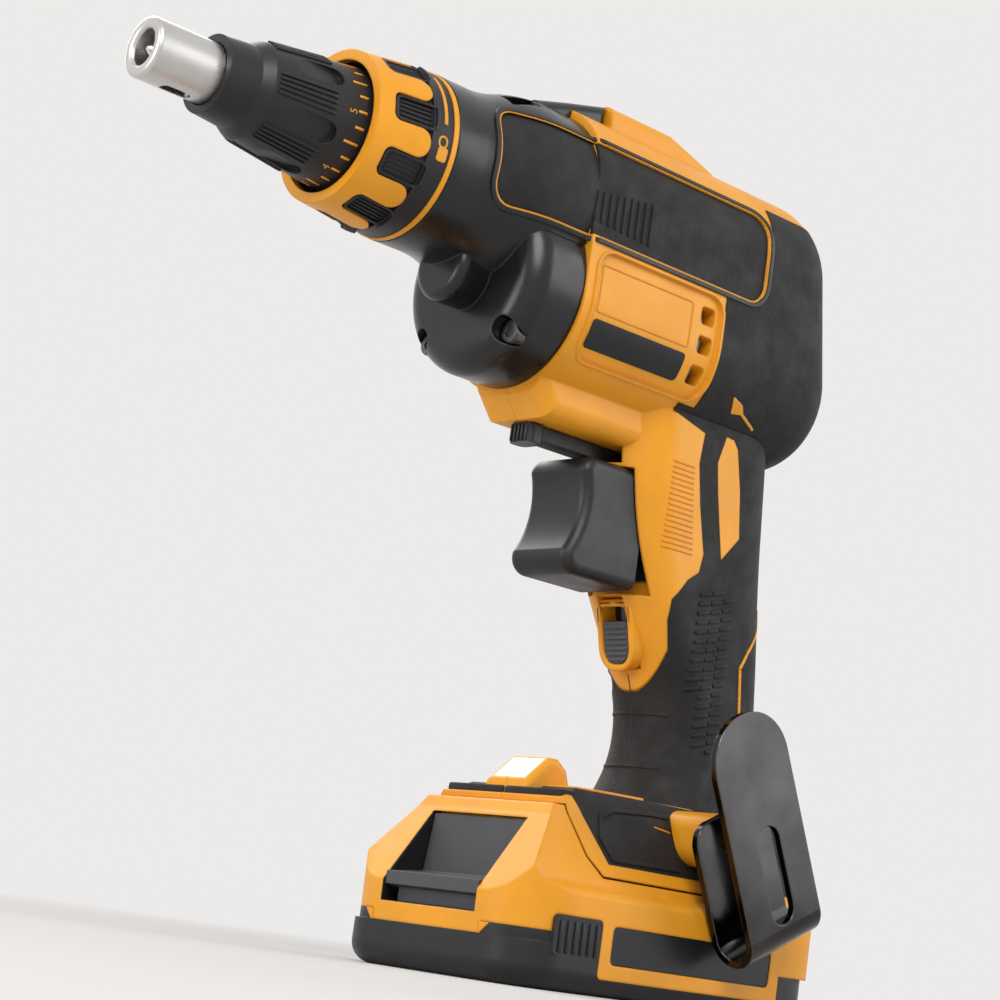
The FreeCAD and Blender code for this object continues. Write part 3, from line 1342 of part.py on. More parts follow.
def make_pack():
    block = pack_edges(prism("pack_block", "XZ", "-pack_half", "pack_half", pack_outline("0")))
    blank = common("pack_blank", block, prism("pack_face", "YZ", "pack_front - 1", "pack_back + 1",
            pack_profile()))
    neck = prism("tower_neck", "YZ", "foot_front - 1", "tower_back", (
        "rounded", "-rail_neck_half", "rail_neck_half", "pack_shoulder - 2", "rail_top", "0.4"))
    head = prism("tower_head", "YZ", "foot_front - 1", "tower_back", (
        "rounded", "-rail_head_half", "rail_head_half", "rail_low", "rail_top", "1"))
    window_floor = "pack_split + 8.8 - latch_travel"
    window = prism("latch_window", "XZ", "-(latch_half + play)", "latch_half + play", (
        "polygon", ("pack_front - 5", window_floor), (LATCH_BACK + " + play", window_floor),
        (LATCH_BACK + " + play", "hood_top - 4.6"), ("pack_front - 5", "hood_top - 4.6")))
    well = prism("latch_well", "XZ", "2 - latch_half", "latch_half - 2", (
        "polygon", ("pack_front + 3", "pack_split + 1.5"), (LATCH_BACK + " + play", "pack_split + 1.5"),
        (LATCH_BACK + " + play", "pack_split + 6"), ("pack_front + 3", "pack_split + 6")))
    corners = [prism("corner_space", "XY", "pack_split", "pack_split + 3", (
        "rounded", "pack_front - 1", "pack_front + 11", low, high, "0.5"))
        for low, high in (("-pack_half - 1", "16.5 - pack_half"), ("pack_half - 16.5", "pack_half + 1"))]
    slots = []
    for i in range(4):
        y = "blade_pitch*(%d - 1.5)" % i
        slots.append(prism("blade_slot", "XZ", y + " - 0.9", y + " + 0.9", (
            "rounded", "tower_back - 20", "tower_back + 1", "rail_low + 1.4", "rail_top + 1", "0.5")))
    apron_z = "pack_split - 7.5"
    apron = side_blocks("case_apron", "cell_first", "pack_back - 18", apron_z, "pack_split + 3", "2.4")
    aprons = common("case_aprons", fuse("apron_pair", *apron),
            prism("apron_limit", "XY", "0", "pack_split + 3", (
        "rounded", "pack_front - 2", "pack_back + 2", "-pack_half", "pack_half", "1")))
    ears = side_blocks("ear_space", "pack_front + 11", "cell_first + 0.05", "pack_split - 4", "pack_ear",
            "2.4 + snug")
    plates = side_blocks("plate_space", "cell_first + 4", "pack_back - 22", "pack_split - 3.5",
            "pack_split + 6.5", "plate_sheet + snug")
    case = fuse("pack_case_blank", blank, neck, head, aprons)
    space = cell_space("case_space", "pack_split - 1", "cell_z + cell_radius + 2", "pack_half - pack_wall")
    roof = cell_space("case_roof", "cell_z + cell_radius", "pack_shoulder - 2.4", "pack_half - pack_wall - 5")
    node("pack_case", cut("pack_case", case, space, roof, window, well,
                          *(slots + ears + plates + corners + pack_screw_spaces())))
    tray = prism("tray_blank", "XY", "0", "pack_split", (
        "rounded", "pack_front", "pack_back", "-pack_half", "pack_half", "14"))
    round_edges(tray, "6", lambda e: e.CenterOfMass.z < 0.01 and e.BoundBox.ZLength < 0.01)
    ear_blocks = common("tray_ears", fuse("ear_pair", *side_blocks(
        "tray_ear", "pack_front + 11.05", "cell_first", "pack_split - 3", "pack_ear - 0.05", "2.4")),
        prism("ear_limit", "XY", "0", "pack_ear + 1", (
            "rounded", "pack_front - 2", "pack_back + 2", "-pack_half", "pack_half", "1")))
    apron_spaces = side_blocks("apron_space", "cell_first", "pack_back - 18 + 0.05", apron_z + " - 0.05",
            "pack_split + 3", "2.4 + snug")
    steps = common("tray_steps", blank, fuse("step_pair", *corners))
    tray_shape = fuse("tray_shape", steps, cut("tray_cut", tray, cell_space(
        "tray_space", "2.5", "pack_split + 1", "pack_half - pack_wall"), *apron_spaces), ear_blocks)
    node("pack_tray", cut("pack_tray", tray_shape, *pack_screw_spaces()))
    node("pack_plates", group("pack_plates", pack_plates()))
    node("pack_screws", group("pack_screws", pack_screws()))


def pack_plates():
    plates = []
    for low, high in (("-pack_half + 0.2", "-(pack_half - plate_sheet)"),
            ("pack_half - plate_sheet", "pack_half - 0.2")):
        plates.append(prism("side_plate", "XZ", low, high, (
            "rounded", "cell_first + 4.05", "pack_back - 22.05", "pack_split - 3.45", "pack_split + 6.45",
            "1.46")))
    return plates


def pack_screw_places():
    front = "pack_half - 13.5"
    back = "pack_half - 14.5"
    return [("pack_front + 9", "-(%s)" % front), ("pack_front + 9", front),
            ("pack_back - 2.6", "-(%s)" % back), ("pack_back - 2.6", back)]


def pack_screw_spaces():
    spaces = []
    for x, y in pack_screw_places():
        spaces.append(prism("pack_screw_hole", "XY", "2", "pack_split + 4", ("disc", x, y, "1.3 + snug")))
        spaces.append(prism("pack_screw_seat", "XY", "-1", "4", ("disc", x, y, "2.15")))
    return spaces


def pack_screws():
    screws = []
    for x, y in pack_screw_places():
        screw = prism("pack_screw", "XY", "4", "pack_split + 3.8", ("disc", x, y, "1.3"))
        pad(screw, "XY", "1.8", "4", ("disc", x, y, "2.1"))
        screws.append(screw)
    return screws


def make_pack_inside():
    cells = []
    grooves = []
    for i in range(5):
        x = "cell_first + cell_pitch*%d" % i
        cells.append(prism("cell", "XZ", "-cell_length/2", "cell_length/2",
                ("disc", x, "cell_z", "cell_radius")))
        grooves.append(prism("cell_groove", "XZ", "-pack_half", "pack_half",
                ("disc", x, "cell_z", "cell_radius + snug")))
    node("pack_cells", group("pack_cells", cells))
    holder_low = "cell_z - cell_radius - 1.4"
    holder = prism("holder_blank", "XZ", "-(pack_half - pack_wall - snug)", "pack_half - pack_wall - snug", (
        "rounded", "cell_first - cell_radius + 3", "cell_first + cell_pitch*4 + cell_radius - 3", holder_low,
        "cell_z + cell_radius + 1.6", "1"))
    middle = prism("holder_middle", "XZ", "-22", "22", (
        "rounded", "cell_first - cell_radius - 3", "cell_first + cell_pitch*4 + cell_radius + 3", "0",
        "cell_z + cell_radius + 0.2", "1"))
    node("cell_holder", cut("cell_holder", holder, middle, *grooves))
    node("pack_board", prism("pack_board", "XY", "cell_z + cell_radius + 1.6", "cell_z + cell_radius + 3.2", (
        "rounded", "cell_first", "tower_back + 14", "-(rail_neck_half + 1)", "rail_neck_half + 1", "1.5")))
    contacts = []
    for i in range(4):
        y = "blade_pitch*(%d - 1.5)" % i
        contacts.append(prism("contact", "XZ", y + " - 0.8", y + " + 0.8", (
            "rounded", "tower_back - 17", "tower_back - 3", "rail_low + 1.4", "rail_low + 2.2", "0.3")))
    node("pack_contacts", group("pack_contacts", contacts))
    latch = prism("pack_latch", "XZ", "-latch_half", "latch_half", (
        "polygon", ("pack_front + 0.3", "pack_split + 13.3"), ("pack_front + 0.3", "pack_split + 9.8"),
        ("pack_front + 5", "pack_split + 9"), (LATCH_BACK, "pack_split + 9"), (LATCH_BACK, "hood_top - 5.2"),
        (LATCH_BACK + " - 1.8", "hood_top - 5.2"), (LATCH_BACK + " - 3.4", "pack_split + 14.8")))
    pad(latch, "XZ", "2.4 - latch_half", "latch_half - 2.4", (
        "rounded", "pack_front + 3.4", "pack_front + 6", "pack_split + 5.3", "pack_split + 10", "0.4"))
    node("pack_latch", latch)
    springs = []
    for y in ("-10", "10"):
        springs.append(prism("latch_spring", "XY", "pack_split + 1.5", "pack_split + 8.95", (
            "disc", LATCH_BACK + " - 3.2", y, "2"), ("disc", LATCH_BACK + " - 3.2", y, "1.2")))
    node("latch_springs", group("latch_springs", springs))


make_nose_tip()
make_depth_sleeve()
make_nose_core()
make_lock_collar()
make_gear_case()
make_case_screws()
make_side_pads()
make_gear_plate()
make_spindle()
make_motor()
make_housing()
make_housing_screws()
make_controls()
make_foot_fittings()
make_belt_hook()
make_pack()
make_pack_inside()
DOC.recompute()

# Every object must have built before anything is written
failed = [item.Label for item in DOC.Objects if "Invalid" in item.State or "Error" in item.State]
if failed:
    raise RuntimeError("did not build: " + ", ".join(failed))
os.makedirs("parts", exist_ok=True)
for name, shape in NODES.items():
    solid = shape.Shape
    if solid.isNull() or not solid.isValid() or not solid.Solids:
        raise RuntimeError(name + " has no valid solid")
    solid.exportStep("parts/%s.step" % name)
    box = solid.BoundBox
    print("%-20s solids %2d  volume %9.1f  x %7.1f %7.1f  y %6.1f %6.1f  z %6.1f %6.1f" % (
        name, len(solid.Solids), solid.Volume, box.XMin, box.XMax, box.YMin, box.YMax, box.ZMin, box.ZMax))
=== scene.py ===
import math

import bmesh
import bpy
from bpy.props import FloatProperty, FloatVectorProperty, IntProperty, PointerProperty
from mathutils import Matrix, Vector
from mathutils.bvhtree import BVHTree


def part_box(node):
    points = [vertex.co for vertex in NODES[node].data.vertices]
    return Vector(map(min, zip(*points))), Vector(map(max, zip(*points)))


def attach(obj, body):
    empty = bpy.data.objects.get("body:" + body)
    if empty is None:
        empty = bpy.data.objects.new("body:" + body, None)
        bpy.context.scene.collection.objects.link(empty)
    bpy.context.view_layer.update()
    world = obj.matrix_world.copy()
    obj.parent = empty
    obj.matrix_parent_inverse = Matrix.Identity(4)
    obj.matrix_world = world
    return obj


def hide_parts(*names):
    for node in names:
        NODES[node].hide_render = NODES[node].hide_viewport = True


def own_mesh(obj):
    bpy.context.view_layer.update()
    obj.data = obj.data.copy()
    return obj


bl_info = {
    "name": "Cordless Drywall Screwdriver",
    "version": (1, 0, 0),
    "blender": (4, 5, 0),
    "location": "View3D > Sidebar > Screwdriver",
    "description": "Finishes and moulded detail for the packed drywall screwdriver",
    "category": "Add Mesh",
}

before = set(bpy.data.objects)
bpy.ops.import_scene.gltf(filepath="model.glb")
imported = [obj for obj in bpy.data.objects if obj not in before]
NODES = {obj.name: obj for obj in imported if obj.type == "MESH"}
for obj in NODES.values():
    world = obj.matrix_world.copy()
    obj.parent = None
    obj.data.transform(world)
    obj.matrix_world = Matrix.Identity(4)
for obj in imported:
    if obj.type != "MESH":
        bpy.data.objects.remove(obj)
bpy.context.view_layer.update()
SURFACES = {}
FINISHES = {}
MM = 0.001
SPINDLE_Z = 0.211
SHARP = math.radians(32.0)
SIDES = (("left", -1), ("right", 1))
# Finish, body and slot of the trim that is most used
YELLOW = ("housing_plastic", "tool", "yellow_plastic")
RUBBER = ("grip_rubber", "tool", "black_rubber")
# Flat of the slider's slot: u across the tool, v up the slide's way, then outwards
SLOT_FACE = Matrix(((0.0, -0.26312, -0.96476, -0.0012), (-1.0, 0.0, 0.0, 0.0),
                    (0.0, 0.96476, -0.26312, 0.0940), (0.0, 0.0, 0.0, 1.0)))
# Run of X in metres where the gear case meets the housing, which a line along the side bridges
CASE_SEAM = (-0.0455, -0.0410)
GRIPS = ("grip_left", "grip_right")
SHELLS = ("housing_left", "housing_right") + GRIPS
# Screw places in millimetres: X and Z, then Y and Z, then X and Y
HOUSING_SCREWS = ((34, 207), (40, 172.6), (24, 229), (41, 112), (9.5, 89), (46, 62))
CASE_SCREWS = ((-17, 169.6), (17, 169.6), (-13, 232.5), (13, 232.5))
PACK_SCREWS = ((-49, 25), (-49, -25), (55.4, 24), (55.4, -24))
# Upright, slanted and level cuts round the skin of the motor end, in millimetres
TAIL_X = (-9.3, -3.0, 4.5, 7.1, 13.9, 26.0)
TAIL_SLANTS = ((10.5, 202, 1, -1), (-8, 164, 0.24, 1))
TAIL_Z = (162.3, 166.5, 198.6, 231.0)
# Level cuts of the foot's bright edge: its top at the sides, at the front and on the step
FOOT_Z = (34.2, 50.8, 48.4)
GRIP_ROWS = 17
GRIP_COLUMNS = 3
# Centre and half sizes of the latch window, in metres
LATCH_WINDOW = ((-0.0515, 0.0, 0.0303), (0.0100, 0.01935, 0.01315))
# Place, size, power and colour of each lamp
LAMPS = {
    "key_lamp": ((-0.75, -0.85, 0.95), 0.9, 12.5, (1.0, 0.97, 0.93)),
    "fill_lamp": ((0.95, -0.75, 0.55), 1.0, 6.0, (0.95, 0.97, 1.0)),
    "back_lamp": ((0.1, 1.0, 0.95), 0.9, 8.0, (1.0, 0.98, 0.95)),
    "nose_lamp": ((-1.05, 0.25, 0.35), 0.6, 4.0, (0.92, 0.95, 1.0)),
}
LAMP_AIM = Vector((-0.03, 0.0, 0.13))
AMBIENT = (0.40, 0.40, 0.41, 1.0)
# Distances from the tool between which the floor fades into the backdrop
FADE = (0.25, 1.1)


# Sizes and colours that a user would change
class FinishColours(bpy.types.PropertyGroup):
    yellow: FloatVectorProperty(
        name="Housing", description="Moulded housing plastic", subtype="COLOR", size=3,
        default=(0.78, 0.325, 0.014))
    black: FloatVectorProperty(
        name="Black plastic", description="Nose, collar, trigger and pack tray", subtype="COLOR", size=3,
        default=(0.010, 0.010, 0.011))
    rubber: FloatVectorProperty(
        name="Grip rubber", description="Overmoulded grip and side pads", subtype="COLOR", size=3,
        default=(0.011, 0.0105, 0.0105))
    case: FloatVectorProperty(
        name="Gear case", description="Painted gear case", subtype="COLOR", size=3,
        default=(0.007, 0.007, 0.008))
    steel: FloatVectorProperty(
        name="Steel", description="Turned steel", subtype="COLOR", size=3, default=(0.62, 0.61, 0.59))
    chrome: FloatVectorProperty(
        name="Hook", description="Black chrome of the belt hook", subtype="COLOR", size=3,
        default=(0.045, 0.043, 0.042))
    lamp: FloatVectorProperty(
        name="Lamp", description="Light of the work lamp", subtype="COLOR", size=3,
        default=(1.0, 0.86, 0.52))


class NoseSizes(bpy.types.PropertyGroup):
    panels: IntProperty(
        name="Rib panels", description="Rib panels round the depth sleeve", default=6, min=3, max=12)
    panel_ribs: IntProperty(
        name="Ribs per panel", description="Ribs in one panel of the sleeve", default=5, min=2, max=8)
    scale_ticks: IntProperty(
        name="Depth ticks", description="Ticks round the depth scale", default=24, min=6, max=48)
    collar_gaps: IntProperty(
        name="Collar pads", description="Ribbed pads round the lock collar", default=9, min=5, max=14)
    pad_ribs: IntProperty(
        name="Ribs per pad", description="Ribs in one pad of the collar", default=4, min=2, max=7)


class GripSizes(bpy.types.PropertyGroup):
    side_ribs: IntProperty(
        name="Side pad ribs", description="Upright ribs on each side pad", default=9, min=3, max=16)
    palm_ribs: IntProperty(
        name="Palm ribs", description="Fine ribs beside the trigger", default=17, min=5, max=24)
    slider_ribs: IntProperty(
        name="Slider ribs", description="Ribs on the lock-on slider", default=7, min=3, max=10)
    lever_ribs: IntProperty(
        name="Lever ribs", description="Ribs on the direction lever", default=5, min=3, max=8)


class StageSettings(bpy.types.PropertyGroup):
    azimuth: FloatProperty(name="Azimuth", description="Camera direction round the tool", default=-40.46)
    elevation: FloatProperty(name="Elevation", description="Camera height angle", default=-11.0)
    roll: FloatProperty(name="Roll", description="Tilt of the picture", default=8.185)
    lens: FloatProperty(name="Lens", description="Focal length on a 36 mm sensor", default=82.8)
    offset: FloatVectorProperty(
        name="Offset", description="Base of the tool seen from the camera: right, down, ahead", size=3,
        default=(0.020869, 0.137213, 0.641622), unit="LENGTH")
    floor: FloatVectorProperty(
        name="Floor", description="Floor colour", subtype="COLOR", size=3, default=(0.62, 0.61, 0.60))
    backdrop: FloatVectorProperty(
        name="Backdrop", description="Colour behind the tool", subtype="COLOR", size=3,
        default=(0.84, 0.83, 0.82))


# Sets each input of a node, or links it to another node's output
def feed(tree, node, inputs):
    for key, value in inputs.items():
        if isinstance(value, bpy.types.NodeSocket):
            tree.links.new(value, node.inputs[key])
        else:
            node.inputs[key].default_value = value


def new_node(tree, kind, inputs, **settings):
    node = tree.nodes.new("ShaderNode" + kind)
    for key, value in settings.items():
        setattr(node, key, value)
    feed(tree, node, inputs)
    return node


def new_finish(name):
    finish = bpy.data.materials.new(name)
    finish.use_nodes = True
    tree = finish.node_tree
    place = new_node(tree, "TexCoord", {}).outputs["Object"]
    FINISHES[name] = finish
    return tree, tree.nodes["Principled BSDF"], place


def noise(tree, place, scale, detail=2.0, roughness=0.5):
    inputs = {"Vector": place, "Scale": scale, "Detail": detail, "Roughness": roughness}
    return new_node(tree, "TexNoise", inputs).outputs["Fac"]


def tone(colour, factor):
    return tuple(min(1.0, c * factor) for c in colour)


# Runs between two tones of a colour as a value goes from low to high
def ramp(tree, fac, low, high, colour, first, second):
    node = new_node(tree, "ValToRGB", {"Fac": fac})
    for i, (position, factor) in enumerate(((low, first), (high, second))):
        node.color_ramp.elements[i].position = position
        node.color_ramp.elements[i].color = (*tone(colour, factor), 1.0)
    return node.outputs["Color"]


def map_range(tree, value, from_low, from_high, to_low, to_high):
    inputs = {"Value": value, "From Min": from_low, "From Max": from_high, "To Min": to_low,
              "To Max": to_high}
    return new_node(tree, "MapRange", inputs).outputs["Result"]


# Spreads the middle of a noise between two values
def spread(tree, fac, low, high):
    return map_range(tree, fac, 0.3, 0.7, low, high)


def blend_colours(tree, fac, first, second):
    inputs = {"Factor": fac, "A": first, "B": second}
    return new_node(tree, "Mix", inputs, data_type="RGBA").outputs["Result"]


def soft_edges(tree, radius):
    return new_node(tree, "Bevel", {"Radius": radius}, samples=4).outputs["Normal"]


# Grows where the rounded normal leaves the true one, so along edges
def edge_mask(tree, rounded):
    true_normal = new_node(tree, "NewGeometry", {}).outputs["Normal"]
    dot = new_node(tree, "VectorMath", {0: rounded, 1: true_normal}, operation="DOT_PRODUCT")
    return map_range(tree, dot.outputs["Value"], 0.985, 0.90, 0.0, 0.45)


def bump(tree, shader, height, distance, strength, under):
    inputs = {"Distance": distance, "Strength": strength, "Height": height, "Normal": under}
    feed(tree, shader, {"Normal": new_node(tree, "Bump", inputs).outputs["Normal"]})


# One inside a box given by its centre and half sizes, nought outside
def inside_box(tree, place, centre, half):
    value = place
    for operation, by in (("SUBTRACT", centre), ("ABSOLUTE", None), ("SUBTRACT", half)):
        inputs = {0: value, 1: by} if by else {0: value}
        value = new_node(tree, "VectorMath", inputs, operation=operation).outputs["Vector"]
    parts = new_node(tree, "SeparateXYZ", {"Vector": value}).outputs
    value = parts["X"]
    for axis in "YZ":
        value = new_node(tree, "Math", {0: value, 1: parts[axis]}, operation="MAXIMUM").outputs["Value"]
    return new_node(tree, "Math", {0: value, 1: 0.0}, operation="LESS_THAN").outputs["Value"]


# Moulded plastic: fine grain, soft edges, slight colour drift and paler edges, partly wear and partly a
# painted highlight along the edges
def moulded(name, colour, roughness, grain=1900.0, depth=0.10, edge=0.45 * MM, wear_and_highlight=1.25, shine=0.5):
    tree, shader, place = new_finish(name)
    rounded = soft_edges(tree, edge)
    drift = ramp(tree, noise(tree, place, 45.0, 3.0), 0.35, 0.65, colour, 0.93, 1.05)
    # Paler tones along every edge: partly wear, partly a painted edge highlight
    worn_and_highlit_edges = ramp(tree, noise(tree, place, 300.0, 3.0), 0.4, 0.6, colour, wear_and_highlight, 1.0 + 2 * (wear_and_highlight - 1.0))
    feed(tree, shader, {
        "Base Color": blend_colours(tree, edge_mask(tree, rounded), drift, worn_and_highlit_edges),
        "Roughness": spread(tree, noise(tree, place, 120.0, 4.0), roughness - 0.05, roughness + 0.07),
        "Specular IOR Level": shine,
    })
    bump(tree, shader, noise(tree, place, grain), 0.12 * MM, depth, rounded)
    return tree, shader, place


# Pack plastic with a dark lining in the latch window
def lined(name, colour, lining, roughness):
    tree, shader, place = moulded(name, colour, roughness, edge=1.1 * MM, wear_and_highlight=1.12, shine=0.38)
    dark = ramp(tree, noise(tree, place, 200.0), 0.4, 0.6, lining, 1.0, 1.3)
    plain = shader.inputs["Base Color"].links[0].from_socket
    window = inside_box(tree, place, *LATCH_WINDOW)
    feed(tree, shader, {"Base Color": blend_colours(tree, window, plain, dark)})


# Soft rubber: stippled, dusty and dull
def rubbery(name, colour):
    tree, shader, place = new_finish(name)
    dust = noise(tree, place, 70.0, 5.0, 0.6)
    feed(tree, shader, {
        "Base Color": ramp(tree, dust, 0.4, 0.75, colour, 0.9, 1.5),
        "Roughness": spread(tree, noise(tree, place, 160.0, 3.0), 0.62, 0.80),
        "Specular IOR Level": 0.32,
        "Sheen Weight": 0.04,
    })
    cells = new_node(tree, "TexVoronoi", {"Vector": place, "Scale": 950.0}).outputs["Distance"]
    bump(tree, shader, cells, 0.2 * MM, 0.35, soft_edges(tree, 0.5 * MM))


# Turned metal: fine rings along the spindle and slight smears
def turned(name, colour, roughness, rings=2600.0):
    tree, shader, place = new_finish(name)
    smear = noise(tree, place, 90.0, 4.0)
    feed(tree, shader, {
        "Base Color": ramp(tree, smear, 0.3, 0.7, colour, 0.88, 1.06),
        "Roughness": spread(tree, noise(tree, place, 140.0, 3.0), roughness - 0.06, roughness + 0.08),
        "Metallic": 1.0,
    })
    inputs = {"Vector": place, "Scale": rings, "Distortion": 3.0, "Detail Scale": 4.0}
    wave = new_node(tree, "TexWave", inputs, bands_direction="X").outputs["Fac"]
    bump(tree, shader, wave, 0.02 * MM, 0.25, soft_edges(tree, 0.3 * MM))


# Polished sheet: mirror-dark with paler edges, partly rubbed metal and partly a painted highlight, and
# faint smudges
def polished(name, colour, roughness):
    tree, shader, place = new_finish(name)
    rounded = soft_edges(tree, 0.5 * MM)
    smudge = ramp(tree, noise(tree, place, 55.0, 4.0), 0.35, 0.7, colour, 0.85, 1.2)
    # Much paler colour along the edges: partly rubbed metal, partly a painted edge highlight
    bright = ramp(tree, noise(tree, place, 400.0), 0.4, 0.6, colour, 5.0, 7.0)
    feed(tree, shader, {
        "Base Color": blend_colours(tree, edge_mask(tree, rounded), smudge, bright),
        "Roughness": spread(tree, noise(tree, place, 80.0, 5.0), roughness - 0.05, roughness + 0.09),
        "Metallic": 1.0,
    })
    bump(tree, shader, noise(tree, place, 35.0), 0.1 * MM, 0.06, rounded)


def clear_lens(name, colour):
    tree, shader, place = new_finish(name)
    glow = ramp(tree, noise(tree, place, 260.0), 0.3, 0.7, colour, 0.9, 1.0)
    feed(tree, shader, {
        "Base Color": glow,
        "Emission Color": glow,
        "Emission Strength": 0.9,
        "Roughness": spread(tree, noise(tree, place, 400.0), 0.12, 0.22),
    })


def make_finishes(colours):
    yellow = tuple(colours.yellow)
    black = tuple(colours.black)
    steel = tuple(colours.steel)
    moulded("housing_plastic", yellow, 0.40, edge=0.9 * MM, wear_and_highlight=1.12, shine=0.38)
    lined("pack_plastic", yellow, tone(black, 0.8), 0.40)
    moulded("black_plastic", black, 0.42, grain=1500.0, depth=0.16, wear_and_highlight=1.9, shine=0.4)
    moulded("grey_plastic", tone(black, 7.0), 0.5, grain=1500.0, depth=0.2, wear_and_highlight=1.5, shine=0.4)
    moulded("grained_plastic", tone(black, 6.0), 0.5, grain=900.0, depth=0.6, wear_and_highlight=1.4, shine=0.4)
    moulded("case_paint", tuple(colours.case), 0.24, grain=2600.0, depth=0.05, edge=0.8 * MM, wear_and_highlight=1.8,
            shine=0.45)
    moulded("badge_plate", tone(black, 0.8), 0.33, grain=2400.0, depth=0.05, wear_and_highlight=1.6, shine=0.35)
    moulded("mark_ink", tone(yellow, 0.95), 0.5, grain=2600.0, depth=0.05)
    moulded("natural_plastic", (0.55, 0.53, 0.48), 0.5)
    moulded("board_green", (0.012, 0.09, 0.03), 0.35)
    moulded("cell_wrap", (0.03, 0.13, 0.20), 0.3)
    rubbery("grip_rubber", tuple(colours.rubber))
    turned("turned_steel", steel, 0.30)
    turned("dark_steel", tone(steel, 0.22), 0.34)
    turned("sheet_stack", tone(steel, 0.4), 0.42)
    turned("brass", (0.62, 0.36, 0.11), 0.28)
    turned("copper_wire", (0.50, 0.17, 0.06), 0.32, rings=900.0)
    polished("black_chrome", tuple(colours.chrome), 0.14)
    clear_lens("lit_lens", tuple(colours.lamp))


NODE_FINISHES = {
    "housing_plastic": ("housing_left", "housing_right", "collar_crown", "collar_ring"),
    "pack_plastic": ("pack_case",),
    "black_plastic": ("depth_sleeve", "lock_collar", "trigger", "trigger_switch", "direction_lever",
                      "control_module", "terminal_block", "pack_tray", "cooling_fan"),
    "grey_plastic": ("lock_slider",),
    "grained_plastic": ("pack_latch",),
    "badge_plate": ("pack_plates",),
    "case_paint": ("gear_case",),
    "grip_rubber": GRIPS + ("side_pad_left", "side_pad_right"),
    "turned_steel": ("nose_tip", "spindle_bearing", "spindle_sleeve", "drive_gear", "spindle",
                     "clutch_spring", "bit_holder", "bit", "motor_shaft", "pinion", "motor_bearing_front",
                     "motor_bearing_rear", "latch_springs", "rotor_magnets"),
    "dark_steel": ("gear_case_screws", "housing_screws", "pack_screws"),
    "sheet_stack": ("rotor_core", "stator_core", "gear_plate"),
    "brass": ("hook_inserts", "hook_screw", "terminal_blades", "pack_contacts", "spindle_bush",
              "pinion_bush"),
    "copper_wire": ("stator_coils",),
    "natural_plastic": ("nose_core", "cell_holder"),
    "board_green": ("motor_board", "pack_board"),
    "cell_wrap": ("pack_cells",),
    "black_chrome": ("belt_hook",),
    "lit_lens": ("lamp_lens", "lamp_led"),
}


# Surface of some nodes, for rays
def surface_of(*names):
    if names not in SURFACES:
        points, faces = [], []
        for name in names:
            mesh = NODES[name].data
            start = len(points)
            points.extend(v.co.copy() for v in mesh.vertices)
            faces.extend([start + i for i in p.vertices] for p in mesh.polygons)
        SURFACES[names] = BVHTree.FromPolygons(points, faces)
    return SURFACES[names]


def meet(surface, start, way):
    hit = surface.ray_cast(Vector(start), Vector(way))[0]
    if hit is None:
        raise RuntimeError("no surface seen from %.4f %.4f %.4f" % tuple(start))
    return hit


def cut(bm, point, normal):
    bmesh.ops.bisect_plane(bm, geom=bm.verts[:] + bm.edges[:] + bm.faces[:], dist=1e-7, plane_co=point,
                           plane_no=normal)


def move(bm, matrix):
    bmesh.ops.transform(bm, matrix=matrix, verts=bm.verts[:])


# The shape helpers from here on are given millimetres and make meshes in metres
def round_off(bm, geom, offset, segments, affect="EDGES"):
    bmesh.ops.bevel(bm, geom=geom, offset=offset * MM, offset_type="OFFSET", segments=segments, profile=0.5,
                    affect=affect, material=-1)


# Flat forms lie in u and v with their height along the third axis
def bar(bm, centre, size, rounding):
    matrix = Matrix.Translation([c * MM for c in centre]) @ Matrix.Diagonal([*(s * MM for s in size), 1.0])
    made = bmesh.ops.create_cube(bm, size=1.0, matrix=matrix)["verts"]
    round_off(bm, list({e for v in made for e in v.link_edges}), rounding, 2)


def rectangle(low_u, high_u, low_v, high_v):
    return ((low_u, low_v), (high_u, low_v), (high_u, high_v), (low_u, high_v))


def outline(bm, points, corner):
    corners = [bm.verts.new((u * MM, v * MM, 0.0)) for u, v in points]
    bm.faces.new(corners)
    if corner:
        round_off(bm, corners, corner, 6, "VERTICES")
    bm.faces.ensure_lookup_table()
    return bm.faces[-1]


def raise_faces(bm, faces, low, high):
    bmesh.ops.translate(bm, verts=list({v for f in faces for v in f.verts}), vec=(0.0, 0.0, low * MM))
    grown = bmesh.ops.extrude_face_region(bm, geom=faces, use_keep_orig=True)["geom"]
    moved = [g for g in grown if isinstance(g, bmesh.types.BMVert)]
    bmesh.ops.translate(bm, verts=moved, vec=(0.0, 0.0, (high - low) * MM))


def plate(bm, points, corner, low, high):
    raise_faces(bm, [outline(bm, points, corner)], low, high)


def ring_plate(bm, points, corner, width, low, high):
    face = outline(bm, points, corner)
    band = bmesh.ops.inset_region(bm, faces=[face], thickness=width * MM, depth=0.0, use_even_offset=True,
                                   use_boundary=True)["faces"]
    bmesh.ops.delete(bm, geom=[face], context="FACES_ONLY")
    raise_faces(bm, band, low, high)


# Rounded stroke along a path of points
def stroke(bm, path, width, low, high):
    for start, end in zip(path, path[1:]):
        start, end = Vector(start) * MM, Vector(end) * MM
        run = end - start
        length = run.length / MM
        thick = high - low
        part = bmesh.new()
        bar(part, (length / 2, 0.0, (low + high) / 2), (length + width, width, thick), thick * 0.3)
        slice_up(part, 0, 1.5)
        turn = Matrix.Rotation(math.atan2(run.y, run.x), 4, "Z")
        move(part, Matrix.Translation((start.x, start.y, 0.0)) @ turn)
        join(bm, part)


def slice_up(bm, axis, step):
    values = [v.co[axis] for v in bm.verts]
    normal = Vector((0.0, 0.0, 0.0))
    normal[axis] = 1.0
    position = min(values) + step * MM
    while position < max(values):
        cut(bm, normal * position, normal)
        position += step * MM


